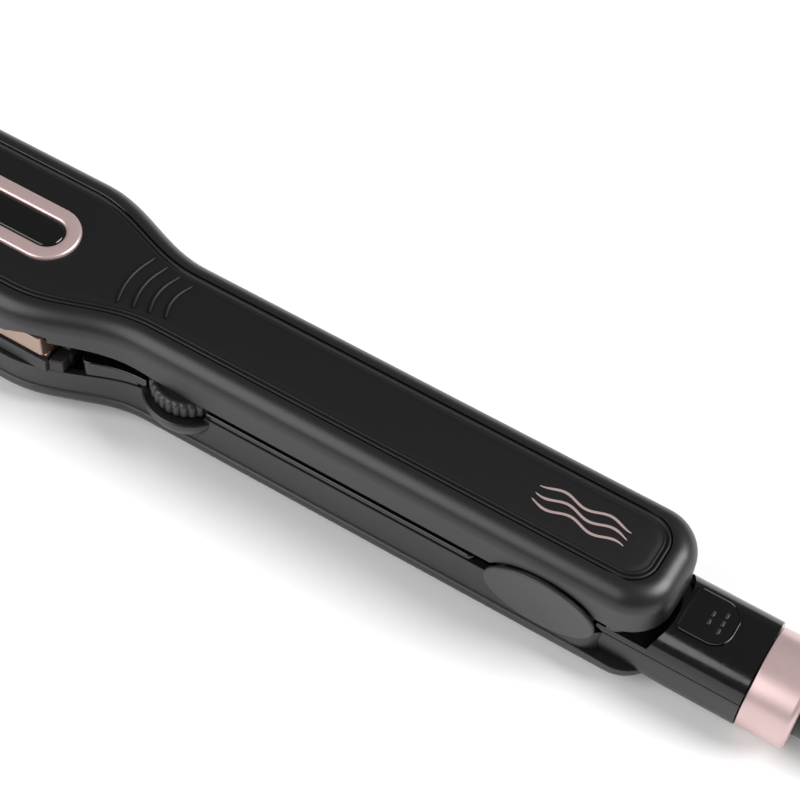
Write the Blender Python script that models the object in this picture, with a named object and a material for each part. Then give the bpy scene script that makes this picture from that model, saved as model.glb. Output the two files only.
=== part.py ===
"""Hair straightener with wide plates, closed and locked, lying on its lower arm.

Metres, +Z up. +X runs to the cord, +Y to the far side, and the origin is under the middle of the body on
the surface that it lies on. Lengths along the body are measured from the tip of the plates, in mm.
"""

import math

import bmesh
import bpy
from mathutils import Matrix, Vector

MM = 0.001

# Lengths along the body, from the tip.
PLATE_START = 6.4
PLATE_LENGTH = 100.0
NECK_START = 95.0
NECK_LENGTH = 36.0
WHEEL_AT = 141.0
HINGE_AT = 244.4
ARM_LENGTH = 272.8
SEAM_AT = 295.8
COLLAR_LENGTH = 12.8
BOOT_LENGTH = 34.0

# Widths and heights.
HEAD_HALF = 24.3
GRIP_HALF = 15.3
TOP_Z = 39.2
SPLIT_Z = 22.1
ARM_FLOOR_Z = 3.7
WALL = 2.0
GAP = 0.3
EDGE_RADIUS = 5.7
TIP_RADIUS = 13.0
TAIL_RADIUS = 11.5

# Deck panel and its trim.
DECK_HEAD_HALF = HEAD_HALF - 6.2
DECK_GRIP_HALF = 9.6
DECK_END_INSET = 6.5
DECK_THICK = 1.6
DECK_CROWN = 0.7
RING_FRONT = 36.0
RING_REAR = 93.4
RING_OUTER = 8.5
RING_INNER = 4.5
RING_DEPTH = 1.3
RING_PROUD = 1.0
RIB_AT = 120.2
RIB_STEP = 4.25
RIB_COUNT = 4
RIB_HALF = 8.1
RIB_SHRINK = 0.8
RIB_BULGE = 1.8
RIB_WIDTH = 1.0
RIB_PROUD = 0.5

# Edges of the shells that face each other.
UPPER_HEAD_Z = 29.2
UPPER_GRIP_Z = 26.2
LOWER_HEAD_Z = 17.1
LOWER_GRIP_Z = 21.0
LOWER_WALL_INSET = 0.5
LEDGE_Z = 9.2
LOWER_EDGE_RADIUS = 4.0
LID_START = 113.2
LID_END = 227.0
LID_TOP_Z = 22.7
LID_INSET = 0.9

# Heated plates.
PLATE_HALF = HEAD_HALF - 1.7
PLATE_BODY_HALF = PLATE_HALF - 3.6
PLATE_WALL = 1.6
PLATE_DEPTH = 5.9
PLATE_EDGE = 2.2
LOWER_PLATE_HALF = PLATE_HALF - 1.7
LOWER_LIP = 2.6
FLANGE_START = 14.0
FLANGE_THICK = 1.0
FLANGE_DEPTH = 8.3
NOTCH_START = PLATE_START + PLATE_LENGTH - 13.4
NOTCH_END = PLATE_START + PLATE_LENGTH + 1.6
NOTCH_TOP_Z = 31.6
NOTCH_HALF = HEAD_HALF - 0.4
PLATE_TRAVEL = 1.2
HEATER_LENGTH = PLATE_LENGTH - 28
HEATER_HALF = 9.0
HEATER_THICK = 2.6
SLAB_THICK = 2.0
UPPER_SLAB = 6.4
LOWER_SLAB = 7.7
RAIL_DROP = 0.8
BLOCK_LENGTH = 4.5
BLOCK_HALF = PLATE_BODY_HALF - 1.6

# Temperature wheel.
WHEEL_RADIUS = 10.4
WHEEL_Y = -7.7
WHEEL_BOTTOM_Z = 20.3
WHEEL_THICK = 5.0
WHEEL_TEETH = 30
WHEEL_TOOTH = 0.5
WHEEL_CLEAR = 0.7
BULGE_WALL = 2.0

# Control board.
BOARD_START = 128.0
BOARD_LENGTH = 78.0
BOARD_HALF = 10.5
BOARD_THICK = 1.6
BOARD_Z = 9.4
SWITCH_SIZE = 9.0
SWITCH_HEIGHT = 6.0

# Hinge.
PIN_RADIUS = 1.6
EAR_LONG = 13.2
EAR_TALL = 8.2
EAR_INNER_Y = 12.6
PAD_LONG = 14.75
PAD_TALL = 9.0
PAD_THICK = 0.9
LUG_INNER_Y = 8.6
LUG_OUTER_Y = 12.2
LUG_RADIUS = 4.2
SPRING_WIRE = 0.5
SPRING_RADIUS = 3.4
SPRING_TURNS = 5

# Rear body, collar and swivel.
REAR_START = 252.0
REAR_BLEND = 28.0
REAR_HALF = 12.8
REAR_TOP_Z = 25.3
REAR_SQUARENESS = 2.7
PART_Z = 17.6
TRENCH_Z = 19.5
TRENCH_CLEAR = 1.3
HUMP_HALF = 12.0
COLLAR_RADIUS = 12.9
NECK_RADIUS = 10.2
BORE_RADIUS = 8.3
BOOT_RADIUS = 8.6
BOOT_TIP_RADIUS = 3.9
CORD_RADIUS = 2.5
SLIDER_HALF = 6.55
SLIDER_END = 287.5
SLIDER_PROUD = 0.6
SLIDER_TRAVEL = 4.0

# Lids, screws and the posts under the board.
UPPER_LID_Z = 27.0
LID_THICK = 1.4
UPPER_LID_START = 114.0
UPPER_LID_END = 256.0
UPPER_LID_INSET = 3.1
UPPER_SCREWS = (162.0, 222.0)
LOWER_SCREWS = (119.0, 214.0, 264.5)
LOWER_BOSS_TOPS = (15.0, 18.0, 14.5)
CUSHION_PLACES = (("front", PLATE_START + 21.6), ("rear", PLATE_START + PLATE_LENGTH - 21.4))
POST_PLACES = ((132.0, 8.0), (202.0, 8.0), (132.0, -8.0), (202.0, -8.0))
SCREW_HEAD = 2.6
SCREW_SHAFT = 1.3
BOSS_RADIUS = 3.2

# The lower arm's tail, and the slider's cap and stem.
TRAY_END = 264.0
SKIRT_END = 273.5
TRAY_TAIL_RADIUS = 10.0
SLIDER_START = 277.4
SLIDER_STEM = 279.2

BODY_LENGTH = SEAM_AT + COLLAR_LENGTH + BOOT_LENGTH

# Cord: its folded length, its plug and the height at which it leaves the boot.
CORD_EXIT_Z = COLLAR_RADIUS
HANK_START = BODY_LENGTH + 62
HANK_LENGTH = 110.0
HANK_HALF = 20.0
HANK_LOW = 1.1
HANK_TOP = 21.2
HANK_SIDE = 17.5
PLUG_START = HANK_START + HANK_LENGTH + 42
PLUG_Y = -6.0
PLUG_LENGTH = 34.0
PLUG_HALF = 12.5
PLUG_THICK = 13.0
MIDDLE = BODY_LENGTH / 2
MANIFOLD_SHELLS = ("lower_shell",)
CORNER_POINTS = 5
NECK_STEPS = 9
GRIP_STEP = 8.0


def smooth(t):
    """Half a cosine from 0 to 1."""
    t = min(max(t, 0.0), 1.0)
    return (1 - math.cos(math.pi * t)) / 2


def half_width(s, head, grip):
    """Half the arm's width at s: wide at the head, then an S-curve through the neck."""
    return head + (grip - head) * smooth((s - NECK_START) / NECK_LENGTH)


def arm_half(s):
    return half_width(s, HEAD_HALF, GRIP_HALF)


def deck_half(s):
    return half_width(s, DECK_HEAD_HALF, DECK_GRIP_HALF)


def steady(width):
    """A half width that is the same at every length."""
    return lambda s: width


def upper_edge(s):
    """Height of the upper shell's lower edge."""
    return UPPER_HEAD_Z + (UPPER_GRIP_Z - UPPER_HEAD_Z) * smooth((s - NECK_START - 10) / 45)


def lower_edge(s):
    """Height of the lower shell's upper edge."""
    return LOWER_HEAD_Z + (LOWER_GRIP_Z - LOWER_HEAD_Z) * smooth((s - NECK_START - 17) / 36)


def side_stations(start, end, steps):
    """Lengths at which a side has points: evenly spread, or where every arm outline shares them."""
    if steps:
        return [start + (end - start) * i / steps for i in range(steps + 1)]
    neck = [NECK_START + NECK_LENGTH * i / NECK_STEPS for i in range(NECK_STEPS + 1)]
    grip = [NECK_START + NECK_LENGTH + GRIP_STEP * i for i in range(1, 5)]
    return [start] + [s for s in neck + grip if start + 1 < s < end - 1] + [end]


def plan(start, end, half, start_radius, end_radius, inset=0.0, steps=0):
    """Outline seen from above, anticlockwise: two sides that follow half(s), joined by rounded corners."""
    a, b = start + inset, end - inset
    r0, r1 = max(start_radius - inset, 0.4), max(end_radius - inset, 0.4)
    near = []
    for i in range(CORNER_POINTS):
        turn = math.pi / 2 * i / CORNER_POINTS
        s = a + r0 * (1 - math.cos(turn))
        near.append((s, half(a + r0) - inset - r0 * (1 - math.sin(turn))))
    for s in side_stations(a + r0, b - r1, steps):
        near.append((s, half(s) - inset))
    for i in range(CORNER_POINTS):
        turn = math.pi / 2 * (i + 1) / CORNER_POINTS
        s = b - r1 * (1 - math.sin(turn))
        near.append((s, half(b - r1) - inset - r1 * (1 - math.cos(turn))))
    return [(s, -y) for s, y in near] + [(s, y) for s, y in reversed(near)]


def at_height(outline, z):
    """A ring of points from an outline. z is a height, or a function of the length along the body."""
    return [(s, y, z(s) if callable(z) else z) for s, y in outline]


def material(name, colour, roughness, metallic=0.0):
    made = bpy.data.materials.new(name)
    made.use_nodes = True
    shader = made.node_tree.nodes["Principled BSDF"]
    shader.inputs["Base Color"].default_value = (*colour, 1)
    shader.inputs["Roughness"].default_value = roughness
    shader.inputs["Metallic"].default_value = metallic
    made.diffuse_color = (*colour, 1)
    return made


def new_object(name, mesh, finish):
    made = bpy.data.objects.new(name, mesh)
    bpy.context.scene.collection.objects.link(made)
    if finish is not None:
        made.data.materials.append(finish)
    return made


def cap(ring, first):
    """Faces that close a ring: one polygon where it is level or upright, rungs between its two sides
    where its height follows the length along the body."""
    count = len(ring)
    heights = [z for s, y, z in ring]
    lengths = [s for s, y, z in ring]
    if min(max(heights) - min(heights), max(lengths) - min(lengths)) < 1e-6:
        return [tuple(range(first, first + count))]
    last = first + count - 1
    return [(first + i, first + i + 1, last - i - 1, last - i) for i in range(count // 2 - 1)]


def stacked(name, rings, finish=None):
    """A closed solid from rings of points with as many points each, capped at both ends."""
    count = len(rings[0])
    points = [Vector(((s - MIDDLE) * MM, y * MM, z * MM)) for ring in rings for s, y, z in ring]
    faces = [face[::-1] for face in cap(rings[0], 0)]
    for level in range(len(rings) - 1):
        for i in range(count):
            j = (i + 1) % count
            low, high = level * count, (level + 1) * count
            faces.append((low + i, low + j, high + j, high + i))
    faces += cap(rings[-1], (len(rings) - 1) * count)
    mesh = bpy.data.meshes.new(name)
    mesh.from_pydata(points, [], faces)
    solid = bmesh.new()
    solid.from_mesh(mesh)
    bmesh.ops.remove_doubles(solid, verts=solid.verts, dist=1e-7)
    bmesh.ops.recalc_face_normals(solid, faces=solid.faces)
    solid.to_mesh(mesh)
    solid.free()
    mesh.shade_smooth()
    mesh.set_sharp_from_angle(angle=math.radians(35))
    return new_object(name, mesh, finish)


def block(name, s0, s1, y0, y1, z0, z1, finish=None, bevel=0.0):
    """A box between two corners, with its upright and level edges bevelled."""
    made = stacked(
        name,
        [[(s0, y0, z), (s1, y0, z), (s1, y1, z), (s0, y1, z)] for z in (z0, z1)],
        finish,
    )
    if bevel:
        rounded = made.modifiers.new("edges", "BEVEL")
        rounded.width = bevel * MM
        rounded.segments = 2
        rounded.limit_method = "ANGLE"
    return made


def circle(count, radius, phase=0.0):
    for i in range(count):
        turn = 2 * math.pi * (i + phase) / count
        yield radius * math.cos(turn), radius * math.sin(turn)


def upright(name, s, y, profile, finish=None, sides=16):
    """A solid turned about a vertical axis through s and y. profile is a list of (radius, height)."""
    rings = [[(s + p, y + q, z) for p, q in circle(sides, radius)] for radius, z in profile]
    return stacked(name, rings, finish)


def along(name, y, z, profile, finish=None, sides=24):
    """A solid turned about an axis along the body. profile is a list of (length along, radius)."""
    rings = [[(s, y + p, z + q) for p, q in circle(sides, radius, 0.5)] for s, radius in profile]
    return stacked(name, rings, finish)


def across(name, s, z, profile, finish=None, sides=20, tall=1.0):
    """A solid turned about an axis across the body. profile is a list of (y, radius); tall flattens it."""
    rings = [[(s + p, y, z + q * tall) for p, q in circle(sides, radius)] for y, radius in profile]
    return stacked(name, rings, finish)


def combine(target, operation, *others):
    """Booleans that stay on the target, with its helpers left out of any render. The two shells meet their
    ribs and bosses in many level faces, which only the manifold solver keeps closed."""
    for other in others:
        other.hide_render = True
        other.display_type = "WIRE"
        step = target.modifiers.new(f"{operation.lower()} {other.name}", "BOOLEAN")
        step.operation = operation
        step.solver = "MANIFOLD" if target.name in MANIFOLD_SHELLS else "EXACT"
        step.object = other
    return target


def cut(target, *cutters):
    return combine(target, "DIFFERENCE", *cutters)


def join(target, *additions):
    return combine(target, "UNION", *additions)


def wire(name, points, radius, finish, sides=2, smooth_steps=6):
    """A round tube along a smooth curve through points, as a polyline with a bevel and filled caps."""
    fine = []
    for i in range(len(points) - 1):
        before = points[max(i - 1, 0)]
        after = points[min(i + 2, len(points) - 1)]
        for k in range(smooth_steps):
            fine.append(between(before, points[i], points[i + 1], after, k / smooth_steps))
    fine.append(points[-1])
    curve = bpy.data.curves.new(name, "CURVE")
    curve.dimensions = "3D"
    line = curve.splines.new("POLY")
    line.points.add(len(fine) - 1)
    for point, (s, y, z) in zip(line.points, fine):
        point.co = ((s - MIDDLE) * MM, y * MM, z * MM, 1)
    curve.bevel_depth = radius * MM
    curve.bevel_resolution = sides
    curve.use_fill_caps = True
    return new_object(name, curve, finish)


def between(a, b, c, d, t):
    """Catmull-Rom: the point at t between b and c, with a before them and d after them."""
    return tuple(
        0.5
        * (
            2 * q
            + (r - p) * t
            + (2 * p - 5 * q + 4 * r - w) * t * t
            + (3 * q - p - 3 * r + w) * t * t * t
        )
        for p, q, r, w in zip(a, b, c, d)
    )


def hang_on(obj, holder, origin):
    """Puts an object's origin on a joint's axis and parents it to the joint's empty."""
    point = Vector(((origin[0] - MIDDLE) * MM, origin[1] * MM, origin[2] * MM))
    obj.data.transform(Matrix.Translation(-point))
    if holder is None:
        obj.location = point
        return
    obj.parent = holder
    obj.location = point - holder.location


def empty(name, s, y, z):
    made = bpy.data.objects.new(name, None)
    made.empty_display_size = 0.01
    made.location = ((s - MIDDLE) * MM, y * MM, z * MM)
    bpy.context.scene.collection.objects.link(made)
    return made


# Upper arm.


def fillet(base_z, radius, rise, steps=4):
    """(inset, height) pairs of a quarter round that starts on a wall at base_z; rise is 1 up or -1 down."""
    pairs = []
    for i in range(steps + 1):
        turn = math.pi / 2 * i / steps
        pairs.append((radius * (1 - math.cos(turn)), base_z + rise * radius * math.sin(turn)))
    return pairs


def arm_outline(inset=0.0, half=arm_half, start=0.0, end=ARM_LENGTH):
    return plan(start, end, half, TIP_RADIUS, TAIL_RADIUS, inset)


def deck_outline(grow=0.0):
    start, end = DECK_END_INSET, ARM_LENGTH - DECK_END_INSET
    return plan(start, end, deck_half, 8.0, 7.0, -grow)


def hinge_ovals(name, inner_y, outer_y, long, tall):
    """An oval block on each side of the hinge."""
    made = []
    for side in (-1, 1):
        profile = [(side * inner_y, long), (side * outer_y, long)]
        made.append(across(f"{name} {side}", HINGE_AT, SPLIT_Z, profile, None, 32, tall / long))
    return made


def upper_boss(s, bottom):
    return upright(f"upper boss {s:.0f}", s, 0, [(BOSS_RADIUS, bottom), (BOSS_RADIUS, TOP_Z - 3.2)])


def make_upper_shell(finish):
    base = TOP_Z - EDGE_RADIUS
    rings = [at_height(arm_outline(), upper_edge)]
    rings += [at_height(arm_outline(inset), z) for inset, z in fillet(base, EDGE_RADIUS, 1)]
    pocket_z = TOP_Z - DECK_THICK - GAP
    rings.append(at_height(deck_outline(GAP), TOP_Z))
    rings.append(at_height(deck_outline(GAP), pocket_z))
    shell = stacked("upper_shell", rings, finish)
    ceiling = pocket_z - WALL
    hollow = [(WALL, lambda s: upper_edge(s) - 5), (WALL, base - 1), (EDGE_RADIUS - 0.5, ceiling)]
    cavity = stacked("upper cavity", [at_height(arm_outline(inset), z) for inset, z in hollow])
    join(cut(shell, cavity), *[upper_boss(s, UPPER_LID_Z + LID_THICK + GAP) for s in UPPER_SCREWS])
    pilots = [
        upright(f"upper pilot {s:.0f}", s, 0, [(SCREW_SHAFT + 0.2, 20), (SCREW_SHAFT + 0.2, TOP_Z - 4.5)])
        for s in UPPER_SCREWS
    ]
    clear = PLATE_HALF + GAP
    flange_room = block("flange room", FLANGE_START - 1, NOTCH_END - 1, -clear, clear, 20, FLANGE_DEPTH + SPLIT_Z + GAP)
    notch = block("plate notch", NOTCH_START, NOTCH_END, -NOTCH_HALF, NOTCH_HALF, 20, NOTCH_TOP_Z)
    cut(shell, flange_room, notch)
    scallops = hinge_ovals(
        "scallop", LUG_OUTER_Y + 0.2, GRIP_HALF + 2, EAR_LONG + 2.3, EAR_TALL + 2.3 * EAR_TALL / EAR_LONG + 0.2
    )
    return cut(shell, *pilots, *scallops)


def make_deck(finish):
    low = TOP_Z - DECK_THICK

    def crown(share):
        def height(s):
            return TOP_Z + DECK_CROWN * deck_half(s) / DECK_HEAD_HALF * (1 - share * share)

        return height

    def inner(share):
        reach = (1 - share) * 9
        start, end = DECK_END_INSET + reach, ARM_LENGTH - DECK_END_INSET - reach
        return plan(start, end, lambda s: deck_half(s) * share, 8 * share, 7 * share)

    rings = [at_height(deck_outline(), low), at_height(deck_outline(), TOP_Z - 0.25)]
    rings.append(at_height(deck_outline(-0.25), TOP_Z))
    rings += [at_height(inner(share), crown(share)) for share in (0.85, 0.6, 0.3)]
    deck = stacked("deck_panel", rings, finish)
    recess = stadium("trim recess", RING_OUTER + GAP, TOP_Z - RING_DEPTH + 0.7, TOP_Z + 5)
    return cut(join(deck, *[rib(i) for i in range(RIB_COUNT)]), recess)


def rib(index):
    """A raised arc across the neck, bulging towards the tip."""
    s = RIB_AT + RIB_STEP * index
    half = RIB_HALF - RIB_SHRINK * index
    radius = (half * half + RIB_BULGE * RIB_BULGE) / (2 * RIB_BULGE)
    sweep = math.asin(half / radius)
    low, high = TOP_Z - 0.8, TOP_Z + DECK_CROWN + RIB_PROUD
    outline = []
    for edge, order in ((RIB_WIDTH / 2, 1), (-RIB_WIDTH / 2, -1)):
        for i in range(11):
            turn = order * (i / 5 - 1) * sweep
            reach = radius + edge
            outline.append((s + radius - RIB_BULGE - reach * math.cos(turn), reach * math.sin(turn)))
    return stacked(f"rib {index}", [at_height(outline, low), at_height(outline, high)])


def stadium_outline(radius, count=12):
    ends = [(RING_REAR, -1), (RING_FRONT, 1)]
    outline = []
    for centre, side in ends:
        for i in range(count + 1):
            turn = math.pi * i / count - math.pi / 2
            outline.append((centre - side * radius * math.cos(turn), -side * radius * math.sin(turn)))
    return outline


def stadium(name, radius, low, high, finish=None):
    outline = stadium_outline(radius)
    return stacked(name, [at_height(outline, low), at_height(outline, high)], finish)


def make_trim(ring_finish, window_finish):
    seat = TOP_Z - RING_DEPTH + 0.7 + GAP
    top = TOP_Z + DECK_CROWN + RING_PROUD
    outer = [(RING_OUTER, seat), (RING_OUTER, top - 0.5), (RING_OUTER - 0.5, top)]
    ring = stacked("trim_ring", [at_height(stadium_outline(r), z) for r, z in outer], ring_finish)
    cut(ring, stadium("ring middle", RING_INNER, seat - 1, top + 1))
    inner = [(RING_INNER - GAP, seat), (RING_INNER - GAP, top - 0.6), (RING_INNER - GAP - 0.3, top - 0.4)]
    window = stacked("trim_window", [at_height(stadium_outline(r), z) for r, z in inner], window_finish)
    return ring, window


def make_upper_lid(finish):
    """The lid that closes the grip from inside, with the two hinge lugs under it."""
    outline = plan(UPPER_LID_START, UPPER_LID_END, arm_half, 3, 3, UPPER_LID_INSET)
    levels = (UPPER_LID_Z, UPPER_LID_Z + LID_THICK)
    lid = stacked("upper_lid", [at_height(outline, z) for z in levels], finish)
    lugs = []
    for side in (-1, 1):
        y0, y1 = sorted((side * LUG_INNER_Y, side * (LUG_OUTER_Y - 0.3)))
        disc = across(f"lug disc {side}", HINGE_AT, SPLIT_Z, [(y0, LUG_RADIUS), (y1, LUG_RADIUS)])
        web = block(
            f"lug web {side}",
            HINGE_AT - LUG_RADIUS,
            HINGE_AT + LUG_RADIUS,
            y0,
            y1,
            SPLIT_Z,
            UPPER_LID_Z + LID_THICK / 2,
        )
        lugs += [disc, web]
    join(lid, *lugs)
    bore = across("lug bore", HINGE_AT, SPLIT_Z, [(-30, PIN_RADIUS + GAP), (30, PIN_RADIUS + GAP)])
    holes = [
        upright(f"upper lid hole {s:.0f}", s, 0, [(SCREW_SHAFT + GAP, 20), (SCREW_SHAFT + GAP, 35)])
        for s in UPPER_SCREWS
    ]
    return cut(lid, bore, *holes)


def screw(name, s, y, head_z, rise, length, finish):
    """A pan-head screw. rise is 1 where it is driven up, -1 where it is driven down."""
    profile = [
        (SCREW_HEAD * 0.7, head_z),
        (SCREW_HEAD, head_z + rise * 0.4),
        (SCREW_HEAD, head_z + rise * 1.4),
        (SCREW_SHAFT, head_z + rise * 1.5),
        (SCREW_SHAFT, head_z + rise * (length - 1)),
        (SCREW_SHAFT * 0.4, head_z + rise * length),
    ]
    made = upright(name, s, y, profile, finish, 12)
    slot = (0.35, SCREW_HEAD * 0.6)
    bars = [
        block(f"{name} slot {i}", s - a, s + a, y - b, y + b, head_z - 0.7, head_z + 0.7)
        for i, (a, b) in enumerate((slot, slot[::-1]))
    ]
    return cut(made, *bars)


# Heated plates: the same parts above and below the split, flipped.


def flipped(z, side):
    """Height at a distance z from the split: above it for side 1, below it for side -1."""
    return SPLIT_Z + side * z


def make_plate(name, side, wide, lip, finish):
    """A channel with a flat working face, rounded long edges and a lip whose side shows."""
    start, end = PLATE_START, PLATE_START + PLATE_LENGTH
    face = GAP / 2
    body = PLATE_BODY_HALF
    section = []
    for i in range(5):
        turn = math.pi / 2 * i / 4
        reach = wide - PLATE_EDGE * (1 - math.sin(turn))
        section.append((reach, flipped(face + PLATE_EDGE * (1 - math.cos(turn)), side)))
    section.append((wide, flipped(lip, side)))
    if lip < PLATE_DEPTH:
        section.append((body, flipped(lip, side)))
        section.append((body, flipped(PLATE_DEPTH, side)))
    profile = section + [(-y, z) for y, z in reversed(section)]
    ends = []
    for s, shrink in ((start, 0.7), (start + 0.7, 0.0), (end - 0.7, 0.0), (end, 0.7)):
        ends.append([(s, y * (1 - shrink / wide), z) for y, z in profile])
    plate = stacked(name, ends, finish)
    inner = body - PLATE_WALL
    z0, z1 = sorted((flipped(face + PLATE_WALL, side), flipped(PLATE_DEPTH + 1, side)))
    return cut(plate, block(f"{name} channel", start + 2, end - 2, -inner, inner, z0, z1))


def add_flanges(plate):
    """Thin walls that carry the upper plate's sides up into the shell."""
    end = PLATE_START + PLATE_LENGTH
    low, high = flipped(PLATE_DEPTH - 1, 1), flipped(FLANGE_DEPTH, 1)
    for side in (-1, 1):
        y0, y1 = sorted((side * (PLATE_HALF - FLANGE_THICK), side * PLATE_HALF))
        join(plate, block(f"flange {side}", FLANGE_START, end - 0.7, y0, y1, low, high))
    return plate


def make_heater(name, side, finish):
    middle = PLATE_START + PLATE_LENGTH / 2
    low = GAP / 2 + PLATE_WALL + GAP
    z0, z1 = sorted((flipped(low, side), flipped(low + HEATER_THICK, side)))
    half = HEATER_LENGTH / 2
    return block(name, middle - half, middle + half, -HEATER_HALF, HEATER_HALF, z0, z1, finish, 0.4)


def make_clip(name, side, finish):
    """A leaf that presses the heater to its plate: a flat strip with a bent foot at each end."""
    middle = PLATE_START + PLATE_LENGTH / 2
    low = GAP / 2 + PLATE_WALL + GAP + HEATER_THICK + GAP
    half = HEATER_LENGTH / 2 + 5
    foot = GAP / 2 + PLATE_WALL + GAP
    top = [(-half, foot), (-half + 2.4, foot), (-half + 4.4, low), (half - 4.4, low), (half - 2.4, foot)]
    path = top + [(half, foot)]
    under = [(s, z + 0.7) for s, z in reversed(path)]
    outline = [(middle + s, flipped(z, side)) for s, z in path + under]
    rings = [[(s, y, z) for s, z in outline] for y in (-5.0, 5.0)]
    return stacked(name, rings, finish)


def make_rails():
    """Side walls of the lower frame, and the wide block behind the plate, which stand on the shell's edge."""
    low = flipped(LOWER_SLAB + SLAB_THICK / 2, -1)
    shelf = LOWER_HEAD_Z + GAP
    seat = flipped(LOWER_LIP + PLATE_TRAVEL + GAP, -1)
    top = flipped(RAIL_DROP, -1)
    leg = HEAD_HALF - LOWER_WALL_INSET - WALL - 2 * GAP
    inner = PLATE_BODY_HALF + 2 * GAP
    section = [
        (inner, shelf),
        (PLATE_HALF, shelf),
        (PLATE_HALF, top - 0.4),
        (PLATE_HALF - 0.4, top),
        (LOWER_PLATE_HALF + GAP, top),
        (LOWER_PLATE_HALF + GAP, seat),
        (inner, seat),
    ]
    end = PLATE_START + PLATE_LENGTH + GAP + 0.5
    rails = []
    for side in (-1, 1):
        rings = [[(s, side * y, z) for y, z in section] for s in (FLANGE_START, end)]
        rails.append(stacked(f"rail {side}", rings))
        y0, y1 = sorted((side * inner, side * leg))
        rails.append(block(f"rail leg {side}", FLANGE_START + 1, NECK_START + 3, y0, y1, low, seat - 0.2))
    start = PLATE_START + PLATE_LENGTH + GAP
    levels = ((0.4, shelf), (0.4, top - 0.4), (0.8, top))
    outline = [at_height(plan(start, start + BLOCK_LENGTH, arm_half, 0.5, 0.5, inset, 2), z) for inset, z in levels]
    return [*rails, stacked("rear shoulder", outline)]


def make_carrier(name, side, slab, drop, finish, wells=()):
    """The heat-proof frame that a plate sits in: a slab behind it and a block at each end."""
    end = PLATE_START + PLATE_LENGTH + BLOCK_LENGTH + 4
    outline = plan(0.0, end, arm_half, TIP_RADIUS, 6, LOWER_WALL_INSET + WALL + 2 * GAP)
    z0, z1 = sorted((flipped(slab, side), flipped(slab + SLAB_THICK, side)))
    frame = stacked(name, [at_height(outline, z0), at_height(outline, z1)], finish)
    blocks = []
    for label, s0, s1 in (
        ("front", 2.6 + 0.4, PLATE_START - GAP),
        ("rear", PLATE_START + PLATE_LENGTH + GAP, PLATE_START + PLATE_LENGTH + GAP + BLOCK_LENGTH),
    ):
        ends = sorted((flipped(drop, side), flipped(slab + SLAB_THICK / 2, side)))
        half = BLOCK_HALF if label == "rear" else 13.0
        blocks.append(block(f"{name} {label} block", s0, s1, -half, half, *ends, None, 0.8))
    join(frame, *blocks)
    if side < 0:
        join(frame, *make_rails())
    return cut(frame, *wells)


# Lower arm.


def rear_floor(s):
    """Height of the rear body's underside, which comes down from the tray's floor to the surface."""
    return (ARM_FLOOR_Z + 0.4) * (1 - smooth((s - REAR_START) / REAR_BLEND))


def underside(s):
    """Height of the lower shell's underside at a screw."""
    return min(ARM_FLOOR_Z, rear_floor(s))


def tray_outline(inset=0.0, end=TRAY_END):
    return plan(0.0, end, arm_half, TIP_RADIUS, TRAY_TAIL_RADIUS, inset)


def rear_section(s, inset):
    """The rear body's outline at s: round below its widest height, squarer above, with a flat on top."""
    a, centre = REAR_HALF - inset, COLLAR_RADIUS
    section = []
    for i in range(36):
        turn = 2 * math.pi * (i + 0.5) / 36
        c, w = math.cos(turn), math.sin(turn)
        tall, power = (centre - inset, REAR_SQUARENESS) if w > 0 else (centre - rear_floor(s) - inset, 2.1)
        reach = (abs(c / a) ** power + abs(w / tall) ** power) ** (-1 / power)
        section.append((reach * c, min(centre + reach * w, REAR_TOP_Z - inset)))
    return section


def rear_body(name, inset, start, end):
    rings = []
    for i in range(7):
        s = start + (end - start) * (i / 6) ** 1.5
        rings.append([(s, y, z) for y, z in rear_section(s, inset)])
    return stacked(name, rings)


def lower_boss(s, top):
    return upright(f"lower boss {s:.0f}", s, 0, [(BOSS_RADIUS, underside(s) + 0.9), (BOSS_RADIUS, top)])


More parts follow.
